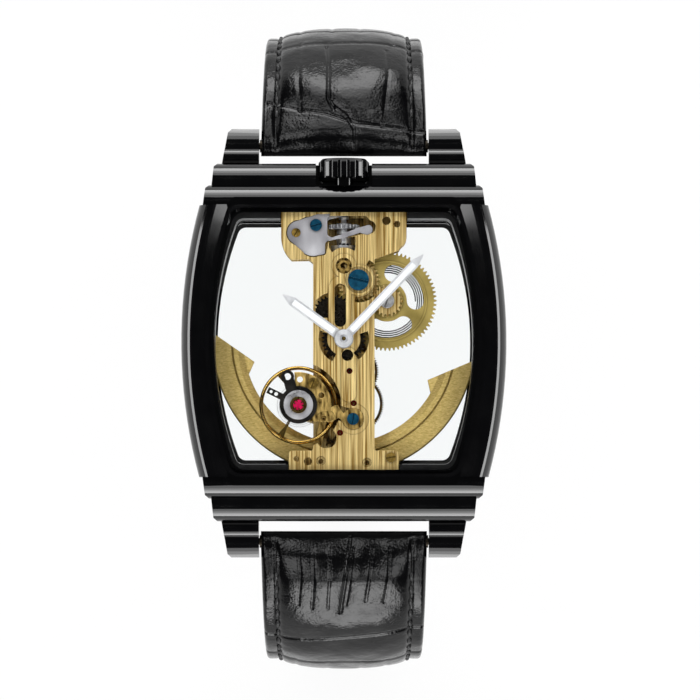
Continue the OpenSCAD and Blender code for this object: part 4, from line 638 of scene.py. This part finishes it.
def strap_half(name, half):
    """One half: a closed skin round the padded core, grain side out and lining underneath."""
    end = half.length - SKIN_INSET
    if not half.tip:
        end += LOOP_R
    near = np.arange(-LOOP_R + SKIN_INSET, FINE_END, FINE_STEP)
    far = np.linspace(FINE_END, end, int((end - FINE_END) / COARSE_STEP))
    s = np.concatenate([near, far])[:, None]
    w = half_width(half, s)
    share = nose(half, s)
    x_top = np.linspace(-1, 1, ACROSS)[None, :] * w
    top = place_points(half, s, x_top, leather_height(half, s, x_top, w) * share)
    under = LINING_RIM + LINING_FLAT + [(-f, h) for f, h in LINING_RIM[::-1]]
    lows = [place_points(half, s, f * w, h * share * STRAP_T / 2)[:, 0] for f, h in under]
    skin = np.concatenate([top, np.stack(lows, axis=1)], axis=1)
    k = skin.shape[1]
    faces = ring_faces(len(s), k, half.side)
    obj = new_object(name, skin.reshape(-1, 3), faces, grain_leather, lining_leather)
    for index, face in enumerate(obj.data.polygons):
        face.material_index = 0 if index % k < ACROSS - 1 else 1
    return obj


def cut(obj, cutters):
    """Takes the cutters out of obj for good."""
    for cutter in cutters:
        modifier = obj.modifiers.new(cutter.name, "BOOLEAN")
        modifier.object = cutter
        modifier.operation = "DIFFERENCE"
        modifier.solver = "EXACT"
    view = bpy.context.evaluated_depsgraph_get()
    mesh = bpy.data.meshes.new_from_object(obj.evaluated_get(view))
    obj.modifiers.clear()
    obj.data = mesh
    for cutter in cutters:
        bpy.data.objects.remove(cutter)


def hole_cutter(half, s):
    """A round punch through the 6 o'clock half."""
    n = 40
    turn = np.linspace(0, 2 * math.pi, n, endpoint=False)
    along = HOLE_R * np.sin(turn) * MM
    slope = strap_run(half, np.full(n, float(s)))[2]
    rims = []
    for h in (-CUTTER_H, CUTTER_H):
        rim = place_points(half, np.full(n, float(s)), HOLE_R * np.cos(turn), np.full(n, float(h)))
        rim[:, 1] -= along * np.cos(slope)
        rim[:, 2] -= along * np.sin(slope)
        rims.append(rim)
    faces = [tuple(range(n)), tuple(range(2 * n - 1, n - 1, -1))]
    faces += [(i, n + i, n + (i + 1) % n, (i + 1) % n) for i in range(n)]
    return new_object("punch", np.concatenate(rims), faces)


def slot_cutter(half):
    """Room for the buckle's tongue in the end of the 12 o'clock half."""
    corners = []
    for s in (half.length - SLOT_L, half.length + SLOT_PAST):
        for h in (-CUTTER_H, CUTTER_H):
            for x in (-SLOT_HALF, SLOT_HALF):
                corners.append(place_points(half, np.array(float(s)), x, h))
    faces = [(0, 1, 3, 2), (4, 6, 7, 5), (0, 4, 5, 1), (2, 3, 7, 6), (0, 2, 6, 4), (1, 5, 7, 3)]
    return new_object("slot", np.array(corners), faces)


def stitches(name, half):
    """The thread of both seams: short slanted stitches that dip in at their ends."""
    rings, n = 7, 8
    tube = ring_faces(rings, n)
    turn = np.linspace(0, 2 * math.pi, n, endpoint=False)
    t = np.linspace(-0.5, 0.5, rings)
    last = half.length - (TIP_GAP if half.tip else BUCKLE_GAP)
    count = int((last - FIRST_STITCH) / STITCH_PITCH)
    points, faces = [], []
    for way in (-1, 1):
        for i in range(count):
            s = FIRST_STITCH + (i + 0.5) * STITCH_PITCH + t * STITCH_L
            x = way * (SEAM_F * half_width(half, s, TIP_INSET) + t * STITCH_SLANT)
            h = leather_height(half, s, x, half_width(half, s)) + STITCH_RISE - STITCH_DIP * t**2
            base = len(points)
            faces += [tuple(base + corner for corner in face) for face in tube]
            for k in range(rings):
                r = THREAD_R * (1 - THREAD_THIN * (2 * t[k]) ** 4)
                across, over = x[k] + r * np.cos(turn), h[k] + r * np.sin(turn)
                points.extend(place_points(half, np.full(n, s[k]), across, over).tolist())
    return new_object(name, points, faces, thread)


creases_12 = CREASES_12 + scale_rows(ROWS_FROM_12, LEN_12, seed=3)
creases_6 = CREASES_6 + scale_rows(ROWS_FROM_6, LEN_6, seed=8)
half_12 = Half(LEN_12, REACH_12, BEND_12, side=1, tip=0, creases=creases_12, roll=ROLL_12)
half_6 = Half(LEN_6, REACH_6, BEND_6, side=-1, tip=TIP_6, creases=creases_6, roll=ROLL_6)
leather_12 = strap_half("leather_12", half_12)
cut(leather_12, [slot_cutter(half_12)])
leather_6 = strap_half("leather_6", half_6)
cut(leather_6, [hole_cutter(half_6, LEN_6 - FIRST_HOLE - i * HOLE_PITCH) for i in range(HOLES)])
for obj, node in ((leather_12, "strap_12"), (leather_6, "strap_6")):
    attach(obj, node)
    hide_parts(node)
for name, half, body in (("stitches_12", half_12, "strap_12"), ("stitches_6", half_6, "strap_6")):
    seams = stitches(name, half)
    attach(seams, body)

bpy.context.scene.view_settings.view_transform = "Standard"
